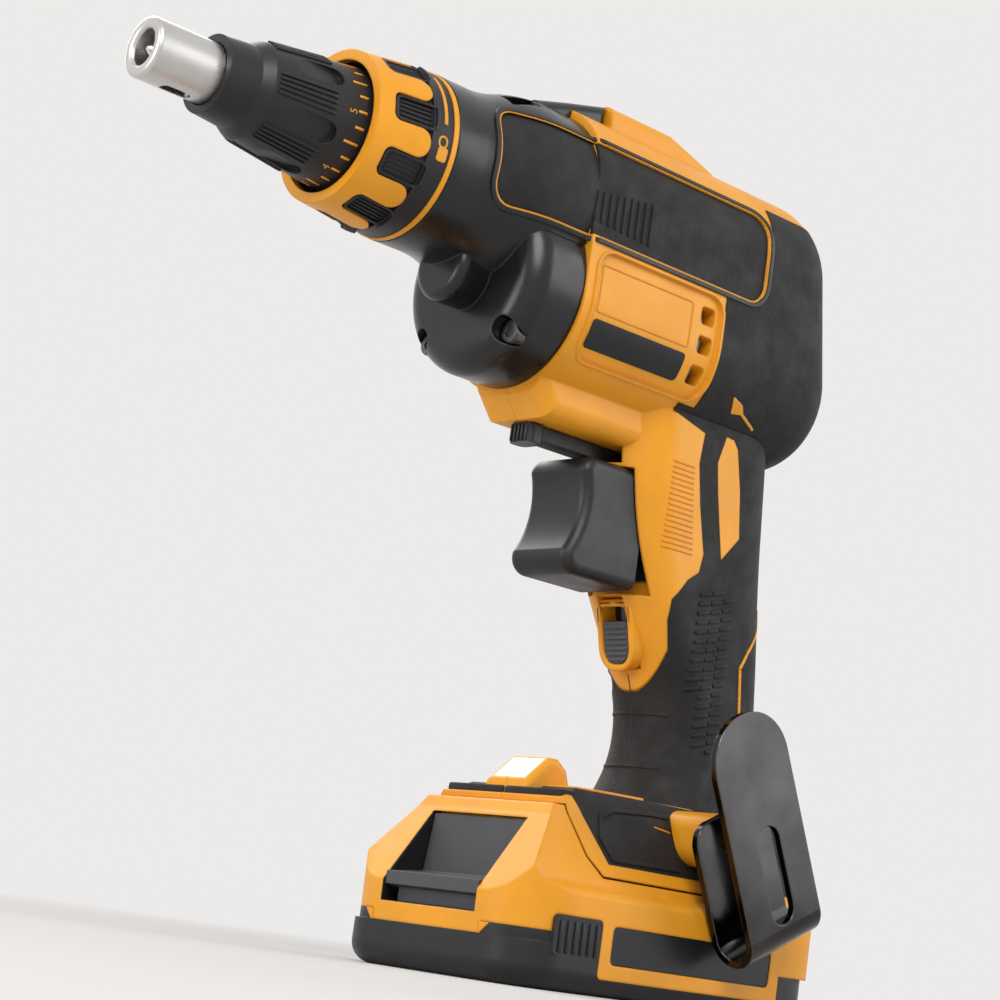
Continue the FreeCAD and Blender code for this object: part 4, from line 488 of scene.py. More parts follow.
# Lays a flat form on a side of the tool: u along X, v along Z
def drape_side(bm, surface, side, gap=None):
    for v in bm.verts:
        u = v.co.x
        if gap and gap[0] < u < gap[1]:
            u = gap[0] if u < (gap[0] + gap[1]) / 2 else gap[1]
        hit = meet(surface, (u, side * 0.2, v.co.y), (0.0, -side, 0.0))
        v.co = Vector((v.co.x, hit.y + side * v.co.z, v.co.y))


# Lays a flat form on the front of the tool: u along Y, v along Z
def drape_front(bm, surface):
    for v in bm.verts:
        hit = meet(surface, (-0.3, v.co.x, v.co.y), (1.0, 0.0, 0.0))
        v.co = Vector((hit.x - v.co.z, v.co.x, v.co.y))


# Lays a flat form on an upward face, looking down from a height: u along X, v along Y
def drape_top(bm, surface, start):
    for v in bm.verts:
        v.co.z += meet(surface, (v.co.x, v.co.y, start * MM), (0.0, 0.0, -1.0)).z


# Wraps a flat form round the spindle: u along X, v round the axis
def wrap(bm, surface, angle, radius):
    for v in bm.verts:
        turn = angle + v.co.y / (radius * MM)
        out = Vector((0.0, math.sin(turn), math.cos(turn)))
        axis = Vector((v.co.x, 0.0, SPINDLE_Z))
        reach = (meet(surface, axis + out * 0.06, -out) - axis).length
        v.co = axis + out * (reach + v.co.z)


def join(target, part):
    mesh = bpy.data.meshes.new("part")
    part.to_mesh(mesh)
    part.free()
    target.from_mesh(mesh)
    bpy.data.meshes.remove(mesh)


# Copies part of a node's skin and lifts it: cuts are points and normals in X and Z, and keep
# is given a face's centre, its normal and how far ahead of it the next wall is
def skin(name, cuts, keep, height):
    bm = bmesh.new()
    bm.from_mesh(NODES[name].data)
    for x, z, along_x, along_z in cuts:
        cut(bm, (x * MM, 0.0, z * MM), (along_x, 0.0, along_z))
    surface = surface_of(*SHELLS)
    spare = []
    for face in bm.faces:
        centre = face.calc_center_median()
        ahead = surface.ray_cast(centre + face.normal * 0.1 * MM, face.normal, 0.06)[3]
        if not keep(centre / MM, face.normal, ahead):
            spare.append(face)
    bmesh.ops.delete(bm, geom=spare, context="FACES")
    bmesh.ops.remove_doubles(bm, verts=bm.verts[:], dist=1e-6)
    bm.normal_update()
    ways = {v.co.copy().freeze(): v.normal.copy() for v in bm.verts}
    grown = bmesh.ops.extrude_face_region(bm, geom=bm.faces[:], use_keep_orig=True)["geom"]
    lifted = {g for g in grown if isinstance(g, bmesh.types.BMVert)}
    for v in bm.verts:
        v.co += ways[v.co.copy().freeze()] * (height if v in lifted else -0.15) * MM
    return bm


def add_piece(name, bm, finish, body, slot):
    bmesh.ops.remove_doubles(bm, verts=bm.verts[:], dist=1e-6)
    bmesh.ops.recalc_face_normals(bm, faces=bm.faces[:])
    mesh = bpy.data.meshes.new(name)
    bm.to_mesh(mesh)
    bm.free()
    mesh.polygons.foreach_set("use_smooth", [True] * len(mesh.polygons))
    mesh.set_sharp_from_angle(angle=SHARP)
    piece = bpy.data.objects.new(name, mesh)
    bpy.context.scene.collection.objects.link(piece)
    mesh.materials.append(FINISHES[finish])
    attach(piece, body)
    return piece


class DRIVER_OT_finishes(bpy.types.Operator):
    """Make the finishes and give one to every carried-over part"""

    bl_idname = "driver.finishes"
    bl_label = "Finishes"

    def execute(self, context):
        make_finishes(context.scene.driver_colours)
        for finish, names in NODE_FINISHES.items():
            for name in names:
                mesh = NODES[name].data
                mesh.materials.clear()
                mesh.materials.append(FINISHES[finish])
        return {"FINISHED"}


class DRIVER_OT_sleeve_ribs(bpy.types.Operator):
    """Rib panels between the depth sleeve's flutes"""

    bl_idname = "driver.sleeve_ribs"
    bl_label = "Sleeve ribs"

    def execute(self, context):
        nose = context.scene.driver_nose
        surface = surface_of("depth_sleeve")
        whole = bmesh.new()
        for panel in range(nose.panels):
            bm = bmesh.new()
            for i in range(nose.panel_ribs):
                v = (i - (nose.panel_ribs - 1) / 2) * 1.35
                bar(bm, (-146.5, v, 0.1), (16.5, 0.75, 0.9), 0.25)
            slice_up(bm, 0, 5)
            wrap(bm, surface, 2 * math.pi * (panel + 0.5) / nose.panels, 14.6)
            join(whole, bm)
        add_piece("sleeve_ribs", whole, "black_plastic", "sleeve", "black_plastic")
        return {"FINISHED"}


class DRIVER_OT_depth_scale(bpy.types.Operator):
    """Ticks and plain numbers round the back of the depth sleeve"""

    bl_idname = "driver.depth_scale"
    bl_label = "Depth scale"

    def execute(self, context):
        count = context.scene.driver_nose.scale_ticks
        surface = surface_of("depth_sleeve")
        whole = bmesh.new()
        for i in range(count):
            bm = bmesh.new()
            length = 2.6 if i % 4 else 4.2
            bar(bm, (-129.2 - length / 2, 0.0, 0.0), (length, 0.7, 0.16), 0.05)
            wrap(bm, surface, 2 * math.pi * i / count, 16.4)
            join(whole, bm)
        for i in range(count // 4):
            bm = numeral(str(i + 1), 3.0)
            slice_up(bm, 1, 0.8)
            wrap(bm, surface, 2 * math.pi * (i * 4 + 1.9) / count, 16.2)
            join(whole, bm)
        add_piece("depth_scale", whole, "mark_ink", "sleeve", "yellow_plastic")
        return {"FINISHED"}


def numeral(text, height):
    curve = bpy.data.curves.new("numeral", "FONT")
    curve.body = text
    curve.size = height * MM
    curve.extrude = 0.08 * MM
    curve.align_x = "CENTER"
    curve.align_y = "CENTER"
    writer = bpy.data.objects.new("numeral", curve)
    mesh = bpy.data.meshes.new_from_object(writer)
    bm = bmesh.new()
    bm.from_mesh(mesh)
    move(bm, Matrix.Translation((-0.1332, 0.0, 0.0)) @ Matrix.Rotation(math.pi / 2, 4, "Z"))
    bpy.data.meshes.remove(mesh)
    bpy.data.objects.remove(writer)
    bpy.data.curves.remove(curve)
    return bm


class DRIVER_OT_collar_pads(bpy.types.Operator):
    """Ribbed pads between the lock collar's fingers"""

    bl_idname = "driver.collar_pads"
    bl_label = "Collar pads"

    def execute(self, context):
        nose = context.scene.driver_nose
        surface = surface_of("lock_collar")
        whole = bmesh.new()
        for gap in range(nose.collar_gaps):
            bm = bmesh.new()
            edge = rectangle(-124.0, -111.2, -3.6, 3.6)
            ring_plate(bm, edge, 2.0, 0.7, -0.3, 0.75)
            for i in range(nose.pad_ribs):
                v = (i - (nose.pad_ribs - 1) / 2) * 1.25
                bar(bm, (-117.6, v, 0.1), (9.6, 0.55, 0.8), 0.2)
            slice_up(bm, 1, 0.9)
            slice_up(bm, 0, 4)
            wrap(bm, surface, 2 * math.pi * gap / nose.collar_gaps, 21.6)
            join(whole, bm)
        add_piece("collar_pads", whole, "black_plastic", "collar", "black_plastic")
        return {"FINISHED"}


class DRIVER_OT_collar_marks(bpy.types.Operator):
    """Padlock and arc on the collar's rear band"""

    bl_idname = "driver.collar_marks"
    bl_label = "Collar marks"

    def execute(self, context):
        surface = surface_of("lock_collar")
        whole = bmesh.new()
        for angle in (-1.78, 1.36):
            bm = bmesh.new()
            lock = rectangle(-110.0, -106.8, -1.9, 1.9)
            plate(bm, lock, 0.8, -0.05, 0.1)
            shackle = rectangle(-110.4, -107.4, 1.5, 4.9)
            ring_plate(bm, shackle, 1.4, 0.55, -0.05, 0.1)
            slice_up(bm, 1, 0.8)
            wrap(bm, surface, angle, 23)
            join(whole, bm)
            bm = bmesh.new()
            bar(bm, (-108.6, 0.0, 0.03), (1.1, 17, 0.16), 0.05)
            slice_up(bm, 1, 1.0)
            wrap(bm, surface, angle + 0.72, 23)
            join(whole, bm)
        add_piece("collar_marks", whole, "mark_ink", "collar", "yellow_plastic")
        return {"FINISHED"}


# Ring with a six-sided hole, laid on a screw head
def socket_ring(bm, place, out, radius, socket, height):
    part = bmesh.new()
    bmesh.ops.create_circle(part, cap_ends=False, segments=30, radius=radius * MM)
    bmesh.ops.create_circle(part, cap_ends=False, segments=6, radius=socket * MM)
    band = bmesh.ops.bridge_loops(part, edges=part.edges[:])["faces"]
    raise_faces(part, band, -0.1, height)
    turn = Vector((0.0, 0.0, 1.0)).rotation_difference(Vector(out)).to_matrix().to_4x4()
    move(part, Matrix.Translation(Vector(place) * MM) @ turn)
    join(bm, part)


class DRIVER_OT_screw_sockets(bpy.types.Operator):
    """Six-sided sockets on the screw heads, and housing screws sunk to their wells"""

    bl_idname = "driver.screw_sockets"
    bl_label = "Screw sockets"

    def execute(self, context):
        bm = bmesh.new()
        for y, z in CASE_SCREWS:
            socket_ring(bm, (-72, y, z), (-1, 0, 0), 3.05, 1.75, 0.5)
        add_piece("case_screw_sockets", bm, "dark_steel", "tool", "screw_steel")
        bm = bmesh.new()
        for x, z in HOUSING_SCREWS:
            top = min(11.5, self.surface_half(x, z) - 1.5)
            for low, high, radius in ((-8.0, top - 2.0, 1.5), (top - 2.5, top - 0.4, 2.9)):
                middle = Matrix.Translation((x * MM, (low + high) / 2 * MM, z * MM))
                bmesh.ops.create_cone(bm, cap_ends=True, segments=30, radius1=radius * MM,
                                      radius2=radius * MM, depth=(high - low) * MM,
                                      matrix=middle @ Matrix.Rotation(math.pi / 2, 4, "X"))
            socket_ring(bm, (x, top - 0.5, z), (0, 1, 0), 2.85, 1.5, 0.5)
        piece = add_piece("housing_screw_set", bm, "dark_steel", "tool", "screw_steel")
        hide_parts("housing_screws")
        bm = bmesh.new()
        socket_ring(bm, (12.5, -43.9, 46.5), (0, -1, 0), 3.6, 1.9, 0.5)
        add_piece("hook_screw_socket", bm, "brass", "tool", "brass")
        bm = bmesh.new()
        for x, y in PACK_SCREWS:
            socket_ring(bm, (x, y, 1.8), (0, 0, -1), 1.95, 1.1, 0.4)
        add_piece("pack_screw_sockets", bm, "dark_steel", "battery", "screw_steel")
        return {"FINISHED"}

    # Least half width of the tool round a screw's head, in millimetres
    def surface_half(self, x, z):
        surface = surface_of("housing_right", "grip_right")
        heights = []
        for i in range(12):
            turn = Matrix.Rotation(i * math.pi / 6, 4, "Y")
            start = Vector((x * MM, 0.2, z * MM)) + turn @ Vector((3.5 * MM, 0.0, 0.0))
            hit = surface.ray_cast(start, Vector((0.0, -1.0, 0.0)))[0]
            heights.append(hit.y / MM if hit else 0.0)
        return max(3.5, min(heights))


class DRIVER_OT_side_pads(bpy.types.Operator):
    """Upright ribs on the side pads, with a bright line and a black lip round them"""

    bl_idname = "driver.side_pads"
    bl_label = "Side pads"

    def execute(self, context):
        grip = context.scene.driver_grip
        for name, side in SIDES:
            bm = bmesh.new()
            for i in range(grip.side_ribs):
                u = -57.0 + i * 2.65
                low = 204.5 - i * 0.12
                high = 213.0 + i * 0.35
                bar(bm, (u, (low + high) / 2, 0.05), (0.8, high - low, 0.9), 0.25)
            slice_up(bm, 1, 2.5)
            drape_side(bm, surface_of("side_pad_" + name), side)
            add_piece("side_pad_ribs_" + name, bm, *RUBBER)
            bm = self.ring(name, side, 0.6, 0.5, 0.3)
            add_piece("side_pad_line_" + name, bm, *YELLOW)
            bm = self.ring(name, side, 1.9, 1.2, 0.6)
            add_piece("side_pad_lip_" + name, bm, "black_plastic", "tool", "black_plastic")
        return {"FINISHED"}

    def ring(self, name, side, reach, width, height):
        bm = bmesh.new()
        edge = rectangle(-89.5 - reach, 12.0 + reach, 200.5 - reach, 227.0 + reach)
        ring_plate(bm, edge, 6.0 + reach, width, -0.3, height)
        slice_up(bm, 0, 3.0)
        slice_up(bm, 1, 2.0)
        drape_side(bm, surface_of("gear_case", "housing_" + name), side, CASE_SEAM)
        return bm


class DRIVER_OT_badges(bpy.types.Operator):
    """Bare dark plate and panel line in each side recess, and the lip round the recess"""

    bl_idname = "driver.badges"
    bl_label = "Side badges"

    def execute(self, context):
        for name, side in SIDES:
            surface = surface_of("housing_" + name)
            bm = bmesh.new()
            plate(bm, rectangle(-51.2, -15.0, 170.8, 178.5), 1.2, -0.3, 0.3)
            slice_up(bm, 1, 1.6)
            drape_side(bm, surface, side)
            add_piece("badge_" + name, bm, "badge_plate", "tool", "black_plastic")
            bm = bmesh.new()
            recess = rectangle(-54.0, -3.0, 166.6, 198.1)
            ring_plate(bm, recess, 6.0, 0.85, -0.3, 0.45)
            panel = rectangle(-51.2, -15.0, 180.2, 193.8)
            ring_plate(bm, panel, 0.8, 0.45, -0.2, 0.2)
            slice_up(bm, 0, 3.0)
            slice_up(bm, 1, 2.0)
            drape_side(bm, surface, side)
            add_piece("badge_lip_" + name, bm, *YELLOW)
        return {"FINISHED"}


def near_screw(x, z, reach):
    return any(math.hypot(x - screw[0], z - screw[1]) < reach for screw in HOUSING_SCREWS)


# Where the soft skin covers the motor end of the housing
def on_tail(at, normal, ahead):
    outward = normal.y if at.y > 0.0 else -normal.y
    under = at.x > 20.0 and at.z < 167.0 and normal.z < 0.2 and outward > -0.3
    if ahead is not None and not (under and ahead > 0.4 * MM):
        return False
    if at.y > 0.0 and near_screw(at.x, at.z, 3.3):
        return False
    front, notch, slant, ledge, corner, back = TAIL_X
    bottom, notch_top, ledge_top, top = TAIL_Z
    low = max(bottom, 164.0 - 0.24 * (at.x + 8.0)) if at.x < slant else bottom if at.x < back else 150.0
    high = at.x + 191.5 if at.x < corner else top
    if at.x < ledge:
        high = notch_top if at.x < notch else ledge_top
    return at.x > front and low < at.z < high


class DRIVER_OT_tail_grip(bpy.types.Operator):
    """Soft skin over the motor end, its bright window and the bright line down the grip"""

    bl_idname = "driver.tail_grip"
    bl_label = "Tail grip"

    def execute(self, context):
        cuts = [(x, 0, 1, 0) for x in TAIL_X] + [*TAIL_SLANTS] + [(0, z, 0, 1) for z in TAIL_Z]
        for name, side in SIDES:
            bm = skin("housing_" + name, cuts, on_tail, 0.35)
            add_piece("tail_grip_" + name, bm, *RUBBER)
            bm = bmesh.new()
            corners = ((7.7, 172.3), (12.5, 171.0), (14.8, 168.7), (10.2, 168.0))
            plate(bm, corners, 0.5, -0.2, 0.6)
            slice_up(bm, 0, 1.5)
            stroke(bm, ((14.0, 168.9), (21.8, 166.3)), 0.8, -0.2, 0.55)
            drape_side(bm, surface_of("housing_" + name), side)
            add_piece("tail_window_" + name, bm, *YELLOW)
            path = ((41.0, 116.0), (42.2, 111.4), (35.7, 102.9), (33.0, 97.7), (34.7, 85.7), (36.0, 73.0))
            bm = bmesh.new()
            stroke(bm, path[2:] if side > 0 else path, 1.0, -0.2, 0.3)
            drape_side(bm, surface_of("grip_" + name), side)
            add_piece("grip_line_" + name, bm, *YELLOW)
        return {"FINISHED"}


# Where the bare housing edge shows round the bottom of the foot
def on_foot_edge(at, normal, ahead):
    side_top, front_top, step = FOOT_Z
    if ahead is not None or normal.z < -0.3 or normal.x > 0.9 or (normal.x < -0.5 and at.z < step):
        return False
    front = (at.x + 25.3) * 16.5 + (at.z - 34.3) * 8.7 < 0.0
    return at.z < side_top or (front and at.z < front_top)


class DRIVER_OT_foot_trim(bpy.types.Operator):
    """Bright lower edge of the foot, its side pocket and slot, deck line and front band"""

    bl_idname = "driver.foot_trim"
    bl_label = "Foot trim"

    def execute(self, context):
        cuts = [(0, z, 0, 1) for z in FOOT_Z] + [(-25.3, 34.3, 16.5, 8.7)]
        pocket = ((2.4, 50.4), (-4, 50.3), (-19, 49.2), (-24.4, 47.0), (-26.0, 41.0), (-23.0, 35.8),
                  (2.4, 36.2))
        deck = ((-3.0, 18.9), (-21.0, 18.9), (-26.0, 16.6), (-28.0, 13.0))
        for name, side in SIDES:
            bm = skin("grip_" + name, cuts, on_foot_edge, 0.3)
            add_piece("foot_edge_" + name, bm, *YELLOW)
            surface = surface_of("grip_" + name)
            bm = bmesh.new()
            stroke(bm, pocket, 1.1, -0.2, 0.55)
            drape_side(bm, surface, side)
            add_piece("foot_pocket_" + name, bm, *RUBBER)
            bm = bmesh.new()
            stroke(bm, ((-3.4, 46.9), (2.2, 46.2)), 0.5, -0.2, 0.25)
            drape_side(bm, surface, side)
            add_piece("foot_slot_" + name, bm, *YELLOW)
            bm = bmesh.new()
            stroke(bm, [(x, side * y) for x, y in deck], 1.4, -0.3, 0.7)
            drape_top(bm, surface_of("housing_" + name), 66.0)
            add_piece("deck_line_" + name, bm, *YELLOW)
        bm = bmesh.new()
        for side in (-1, 1):
            bar(bm, (-34.2, side * 11.8, 50.95), (5.5, 23.2, 2.9), 0.7)
        add_piece("foot_band", bm, *RUBBER)
        return {"FINISHED"}


# Outline with upright sides and a rounded foot
def slot_points(half, low, high):
    shares = ((-1.0, 0.72), (-0.78, 0.25), (-0.36, 0.0), (0.36, 0.0), (0.78, 0.25), (1.0, 0.72))
    foot = [(half * u, low + half * v) for u, v in shares]
    return [(-half, high)] + foot + [(half, high)]


class DRIVER_OT_handle_front(bpy.types.Operator):
    """Slot of the slider with its frame, lining and rail, and the parting line and steps below it"""

    bl_idname = "driver.handle_front"
    bl_label = "Handle front"

    def execute(self, context):
        bm = bmesh.new()
        ring_plate(bm, slot_points(7.2, -3.6, 17.1), 1.6, 2.1, -9.0, 0.0)
        bm.normal_update()
        rim = [e for e in bm.edges if all(v.co.z > -1e-6 for v in e.verts)
               and any(abs(f.normal.z) < 0.5 for f in e.link_faces)]
        round_off(bm, rim, 0.8, 3)
        move(bm, SLOT_FACE)
        add_piece("slot_frame", bm, *YELLOW)
        bm = bmesh.new()
        bar(bm, (0.0, 7.1, -5.95), (9.9, 15.8, 0.3), 0.1)
        move(bm, SLOT_FACE)
        add_piece("slot_lining", bm, "badge_plate", "tool", "black_plastic")
        bm = bmesh.new()
        bar(bm, (0.0, 11.7, -5.0), (2.4, 6.6, 1.3), 0.3)
        move(bm, SLOT_FACE)
        add_piece("slot_rail", bm, "grey_plastic", "tool", "grey_plastic")
        bm = bmesh.new()
        stroke(bm, ((0.0, 90.4), (0.0, 62.6)), 0.4, -0.1, 0.06)
        drape_front(bm, surface_of(*SHELLS))
        add_piece("parting_line", bm, "badge_plate", "tool", "black_plastic")
        bm = bmesh.new()
        for z in (80.0, 64.8):
            stroke(bm, ((-11.0, z), (11.0, z)), 0.9, -0.2, 0.35)
        drape_front(bm, surface_of(*GRIPS))
        add_piece("handle_steps", bm, *RUBBER)
        return {"FINISHED"}


class DRIVER_OT_palm_ribs(bpy.types.Operator):
    """Fine ribs on the housing beside the trigger"""

    bl_idname = "driver.palm_ribs"
    bl_label = "Palm ribs"

    def execute(self, context):
        grip = context.scene.driver_grip
        for name, side in SIDES:
            surface = surface_of("housing_" + name)
            bm = bmesh.new()
            for i in range(grip.palm_ribs):
                share = i / (grip.palm_ribs - 1)
                v = 126.0 + share * 24.5
                left = -4.8 - 1.2 * share
                right = 7.2 - 4.6 * share
                bar(bm, ((left + right) / 2, v, 0.0), (right - left, 0.62, 0.7), 0.2)
            slice_up(bm, 0, 1.6)
            drape_side(bm, surface, side)
            add_piece("palm_ribs_" + name, bm, *YELLOW)
        return {"FINISHED"}


class DRIVER_OT_grip_texture(bpy.types.Operator):
    """Slanted ridges moulded into the rubber grip"""

    bl_idname = "driver.grip_texture"
    bl_label = "Grip texture"

    def execute(self, context):
        for name, side in SIDES:
            surface = surface_of("grip_" + name)
            bm = bmesh.new()
            for row in range(GRIP_ROWS):
                for column in range(GRIP_COLUMNS):
                    u = 15.0 + column * 4.8
                    v = 72.0 + row * 2.75 + (column % 2) * 1.2
                    if (column == 0 and v < 86.0) or (side > 0 and near_screw(u, v, 6.5)):
                        continue
                    stroke(bm, ((u - 1.7, v - 0.5), (u + 1.7, v + 0.5)), 1.1, -0.3, 0.5)
            drape_side(bm, surface, side)
            add_piece("grip_texture_" + name, bm, *RUBBER)
        return {"FINISHED"}


class DRIVER_OT_slider_ribs(bpy.types.Operator):
    """Lock-on slider with a rounded foot and ribs across it"""

    bl_idname = "driver.slider_ribs"
    bl_label = "Slider ribs"

    def execute(self, context):
        count = context.scene.driver_grip.slider_ribs
        bm = bmesh.new()
        plate(bm, slot_points(4.75, -1.3, 10.7), 0.9, -4.2, -0.6)
        for i in range(count):
            v = -0.1 + i * 10.0 / (count - 0.6)
            half = min(4.75, 3.7 + (v + 0.1) * 0.47) - 0.45
            bar(bm, (0.0, v, -0.5), (2 * half, 0.95, 0.9), 0.28)
        move(bm, SLOT_FACE)
        piece = add_piece("slider_button", bm, "grey_plastic", "slider", "grey_plastic")
        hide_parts("lock_slider")
        return {"FINISHED"}


class DRIVER_OT_lever_ribs(bpy.types.Operator):
    """Upright ribs on the tip of the direction lever"""

    bl_idname = "driver.lever_ribs"
    bl_label = "Lever ribs"

    def execute(self, context):
        count = context.scene.driver_grip.lever_ribs
        surface = surface_of("direction_lever")
        low, high = (corner[2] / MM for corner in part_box("direction_lever"))
        bm = bmesh.new()
        for i in range(count):
            u = (i - (count - 1) / 2) * 1.5
            bar(bm, (u, (low + high) / 2, 0.1), (0.7, high - low - 0.6, 0.9), 0.2)
        drape_front(bm, surface)
        add_piece("lever_ribs", bm, "black_plastic", "lever", "black_plastic")
        return {"FINISHED"}


class DRIVER_OT_pack_sides(bpy.types.Operator):
    """Rib patches, latch lines and sloped front corners of the battery pack"""

    bl_idname = "driver.pack_sides"
    bl_label = "Pack sides"

    def execute(self, context):
        for name, side in SIDES:
            bm = bmesh.new()
            for i in range(6):
                u = -44.8 + i * 2.6
                bar(bm, (u, 14.0, 0.0), (1.1, 8.4, 0.9), 0.3)
            drape_side(bm, surface_of("pack_tray"), side)
            add_piece("pack_ribs_" + name, bm, "black_plastic", "battery", "black_plastic")
        bm = bmesh.new()
        for x in (-49.4, -47.9, -46.4):
            stroke(bm, ((x, -14.0), (x, 14.0)), 0.5, -0.2, 0.25)
        drape_top(bm, surface_of("pack_latch"), 36.0)
        add_piece("latch_lines", bm, "grained_plastic", "latch", "black_plastic")
        bm = bmesh.new()
        slope = ((21.7, 14.9), (21.7, 11.9), (22.2, 11.9), (25.4, 14.9))
        for side in (-1, 1):
            corners = [(side * y, z) for y, z in slope]
            plate(bm, corners[::side], 0.0, -0.3, 0.25)
        slice_up(bm, 0, 1.2)
        drape_front(bm, surface_of("pack_case", "pack_tray"))
        add_piece("pack_corner_slopes", bm, "housing_plastic", "battery", "yellow_plastic")
        return {"FINISHED"}


# Coil of round wire that starts at a foot, given in metres, and winds along an axis
def coil(bm, foot, way, length, radius, wire, turns):
    length, radius, wire = length * MM, radius * MM, wire * MM
    side = way.orthogonal().normalized()
    steps = turns * 20
    turn = side.cross(way).to_track_quat("Z", "Y").to_matrix().to_4x4()
    start = foot + side * radius + way * wire / 2
    ring = bmesh.ops.create_circle(bm, cap_ends=False, segments=10, radius=wire / 2,
                                   matrix=Matrix.Translation(start) @ turn)["verts"]
    edges = list({edge for v in ring for edge in v.link_edges})
    bmesh.ops.spin(bm, geom=ring + edges, cent=foot, axis=way, angle=turns * 2 * math.pi, steps=steps,
                   dvec=way * (length - wire) / steps)
    bmesh.ops.holes_fill(bm, edges=[edge for edge in bm.edges if edge.is_boundary], sides=0)


class DRIVER_OT_coil_springs(bpy.types.Operator):
    """Coil springs of the clutch and the latch"""

    bl_idname = "driver.coil_springs"
    bl_label = "Coil springs"

    def execute(self, context):
        foot = Vector((-0.0840, 0.0, SPINDLE_Z))
        way = Vector((1.0, 0.0, 0.0))
        bm = bmesh.new()
        coil(bm, foot, way, 6.95, 5.85, 1.0, 4)
        spring = add_piece("clutch_coil", bm, "turned_steel", "spindle", "satin_steel")
        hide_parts("clutch_spring")
        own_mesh(spring)
        way = Vector((0.0, 0.0, 1.0))
        bm = bmesh.new()
        for y in (-0.010, 0.010):
            foot = Vector((-0.0450, y, 0.0135))
            coil(bm, foot, way, 7.45, 1.62, 0.65, 5)
        spring = add_piece("latch_coils", bm, "turned_steel", "battery", "satin_steel")
        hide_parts("latch_springs")
        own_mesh(spring)
        return {"FINISHED"}


class DRIVER_OT_stage(bpy.types.Operator):
    """Pale floor, soft lights and the camera"""

    bl_idname = "driver.stage"
    bl_label = "Stage"

    def execute(self, context):
        stage = context.scene.driver_stage
        backdrop = tuple(stage.backdrop)
        floor_finish(tuple(stage.floor), backdrop)
        bm = bmesh.new()
        bmesh.ops.create_circle(bm, cap_ends=True, segments=96, radius=6.0)
        mesh = bpy.data.meshes.new("floor")
        bm.to_mesh(mesh)
        bm.free()
        floor = bpy.data.objects.new("floor", mesh)
        mesh.materials.append(FINISHES["floor_paper"])
        context.scene.collection.objects.link(floor)
        light_world(context.scene, backdrop)
        for name, values in LAMPS.items():
            add_lamp(name, *values)
        add_camera(context.scene, stage)
        context.scene.view_settings.view_transform = "Standard"
        return {"FINISHED"}


# One for rays that show the background: straight from the camera, mirrored or through glass
def shown_rays(tree):
    rays = new_node(tree, "LightPath", {}).outputs
    total = rays["Is Camera Ray"]
    for name in ("Is Glossy Ray", "Is Transmission Ray"):
        inputs = {0: total, 1: rays[name]}
        total = new_node(tree, "Math", inputs, operation="ADD", use_clamp=True).outputs["Value"]
    return total


def show_mix(tree, fac, first, second, output):
    mix = new_node(tree, "MixShader", {"Fac": fac, 1: first, 2: second}).outputs["Shader"]
    feed(tree, tree.nodes[output], {"Surface": mix})


# Pale paper that keeps the shadow near the tool and fades into the backdrop further off
def floor_finish(colour, backdrop):
    tree, shader, place = new_finish("floor_paper")
    paper = ramp(tree, noise(tree, place, 3.0, 3.0), 0.3, 0.7, colour, 0.985, 1.01)
    feed(tree, shader, {"Base Color": paper, "Roughness": 0.9, "Specular IOR Level": 0.1})
    far = new_node(tree, "VectorMath", {0: place}, operation="LENGTH").outputs["Value"]
    inputs = {"Value": far, "From Min": FADE[0], "From Max": FADE[1]}
    fade = new_node(tree, "MapRange", inputs, interpolation_type="SMOOTHSTEP").outputs["Result"]
    both = new_node(tree, "Math", {0: fade, 1: shown_rays(tree)}, operation="MULTIPLY").outputs["Value"]
    glow = new_node(tree, "Emission", {"Color": (*backdrop, 1.0)}).outputs["Emission"]
    show_mix(tree, both, shader.outputs["BSDF"], glow, "Material Output")


def light_world(scene, backdrop):
    world = bpy.data.worlds.new("studio")
    world.use_nodes = True
    tree = world.node_tree
    light = tree.nodes["Background"]
    feed(tree, light, {"Color": AMBIENT})
    seen = new_node(tree, "Background", {"Color": (*backdrop, 1.0)}).outputs["Background"]
    show_mix(tree, shown_rays(tree), light.outputs["Background"], seen, "World Output")
    scene.world = world


def add_lamp(name, place, size, power, colour):
    lamp = bpy.data.lights.new(name, "AREA")
    lamp.shape = "DISK"
    lamp.size = size
    lamp.energy = power
    lamp.color = colour
    holder = bpy.data.objects.new(name, lamp)
    holder.location = place
    holder.rotation_euler = (LAMP_AIM - Vector(place)).to_track_quat("-Z", "Y").to_euler()
    bpy.context.scene.collection.objects.link(holder)


def add_camera(scene, stage):
    azimuth, elevation, roll = (math.radians(a) for a in (stage.azimuth, stage.elevation, stage.roll))
    ahead = Vector((-math.sin(azimuth) * math.cos(elevation), math.cos(azimuth) * math.cos(elevation),
                    -math.sin(elevation)))
    right = ahead.cross(Vector((0.0, 0.0, 1.0))).normalized()
    up = right.cross(ahead)
    tilted_right = right * math.cos(roll) + up * math.sin(roll)
    tilted_up = up * math.cos(roll) - right * math.sin(roll)
    place = -(tilted_right * stage.offset[0] - tilted_up * stage.offset[1] + ahead * stage.offset[2])
    lens = bpy.data.cameras.new("camera")
    lens.sensor_width = 36.0
    lens.lens = stage.lens
    lens.clip_start = 0.01
    camera = bpy.data.objects.new("camera", lens)
    basis = Matrix((tilted_right, tilted_up, -ahead)).transposed().to_4x4()
    camera.matrix_world = Matrix.Translation(place) @ basis
    scene.collection.objects.link(camera)
    scene.camera = camera


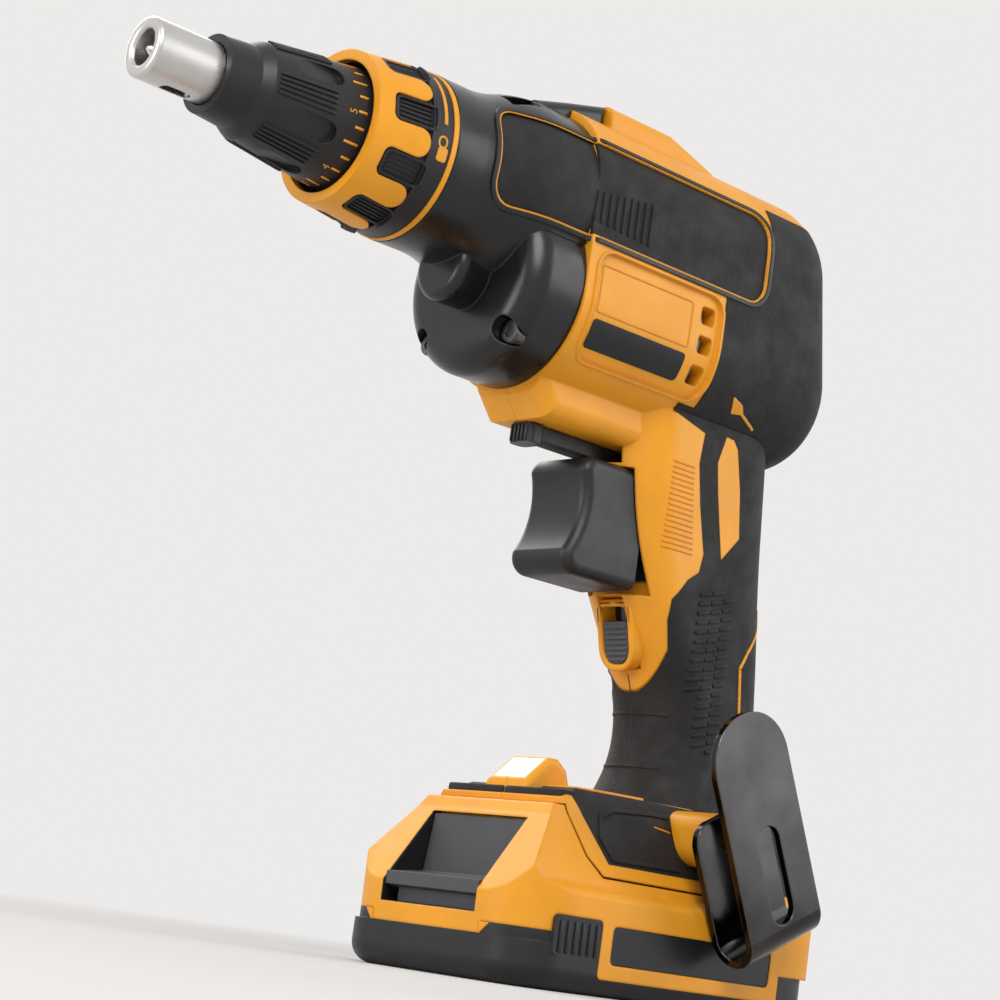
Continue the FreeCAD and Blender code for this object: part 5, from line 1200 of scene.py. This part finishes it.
OPERATORS = (
    DRIVER_OT_finishes,
    DRIVER_OT_sleeve_ribs,
    DRIVER_OT_depth_scale,
    DRIVER_OT_collar_pads,
    DRIVER_OT_collar_marks,
    DRIVER_OT_side_pads,
    DRIVER_OT_badges,
    DRIVER_OT_tail_grip,
    DRIVER_OT_foot_trim,
    DRIVER_OT_handle_front,
    DRIVER_OT_screw_sockets,
    DRIVER_OT_palm_ribs,
    DRIVER_OT_grip_texture,
    DRIVER_OT_slider_ribs,
    DRIVER_OT_lever_ribs,
    DRIVER_OT_pack_sides,
    DRIVER_OT_coil_springs,
    DRIVER_OT_stage,
)


class DRIVER_PT_panel(bpy.types.Panel):
    """Lists the steps that dress the screwdriver"""

    bl_idname = "DRIVER_PT_panel"
    bl_label = "Drywall screwdriver"
    bl_space_type = "VIEW_3D"
    bl_region_type = "UI"
    bl_category = "Screwdriver"

    def draw(self, context):
        for operator in OPERATORS:
            self.layout.operator(operator.bl_idname)


SETTINGS = {
    "driver_colours": FinishColours,
    "driver_nose": NoseSizes,
    "driver_grip": GripSizes,
    "driver_stage": StageSettings,
}
CLASSES = (*SETTINGS.values(), *OPERATORS, DRIVER_PT_panel)


def register():
    for kind in CLASSES:
        bpy.utils.register_class(kind)
    for name, group in SETTINGS.items():
        setattr(bpy.types.Scene, name, PointerProperty(type=group))


def unregister():
    for name in SETTINGS:
        delattr(bpy.types.Scene, name)
    for kind in reversed(CLASSES):
        bpy.utils.unregister_class(kind)


def main():
    register()
    bpy.ops.driver.finishes()
    bpy.ops.driver.sleeve_ribs()
    bpy.ops.driver.depth_scale()
    bpy.ops.driver.collar_pads()
    bpy.ops.driver.collar_marks()
    bpy.ops.driver.side_pads()
    bpy.ops.driver.badges()
    bpy.ops.driver.tail_grip()
    bpy.ops.driver.foot_trim()
    bpy.ops.driver.handle_front()
    bpy.ops.driver.screw_sockets()
    bpy.ops.driver.palm_ribs()
    bpy.ops.driver.grip_texture()
    bpy.ops.driver.slider_ribs()
    bpy.ops.driver.lever_ribs()
    bpy.ops.driver.pack_sides()
    bpy.ops.driver.coil_springs()
    bpy.ops.driver.stage()


if __name__ == "__main__":
    main()
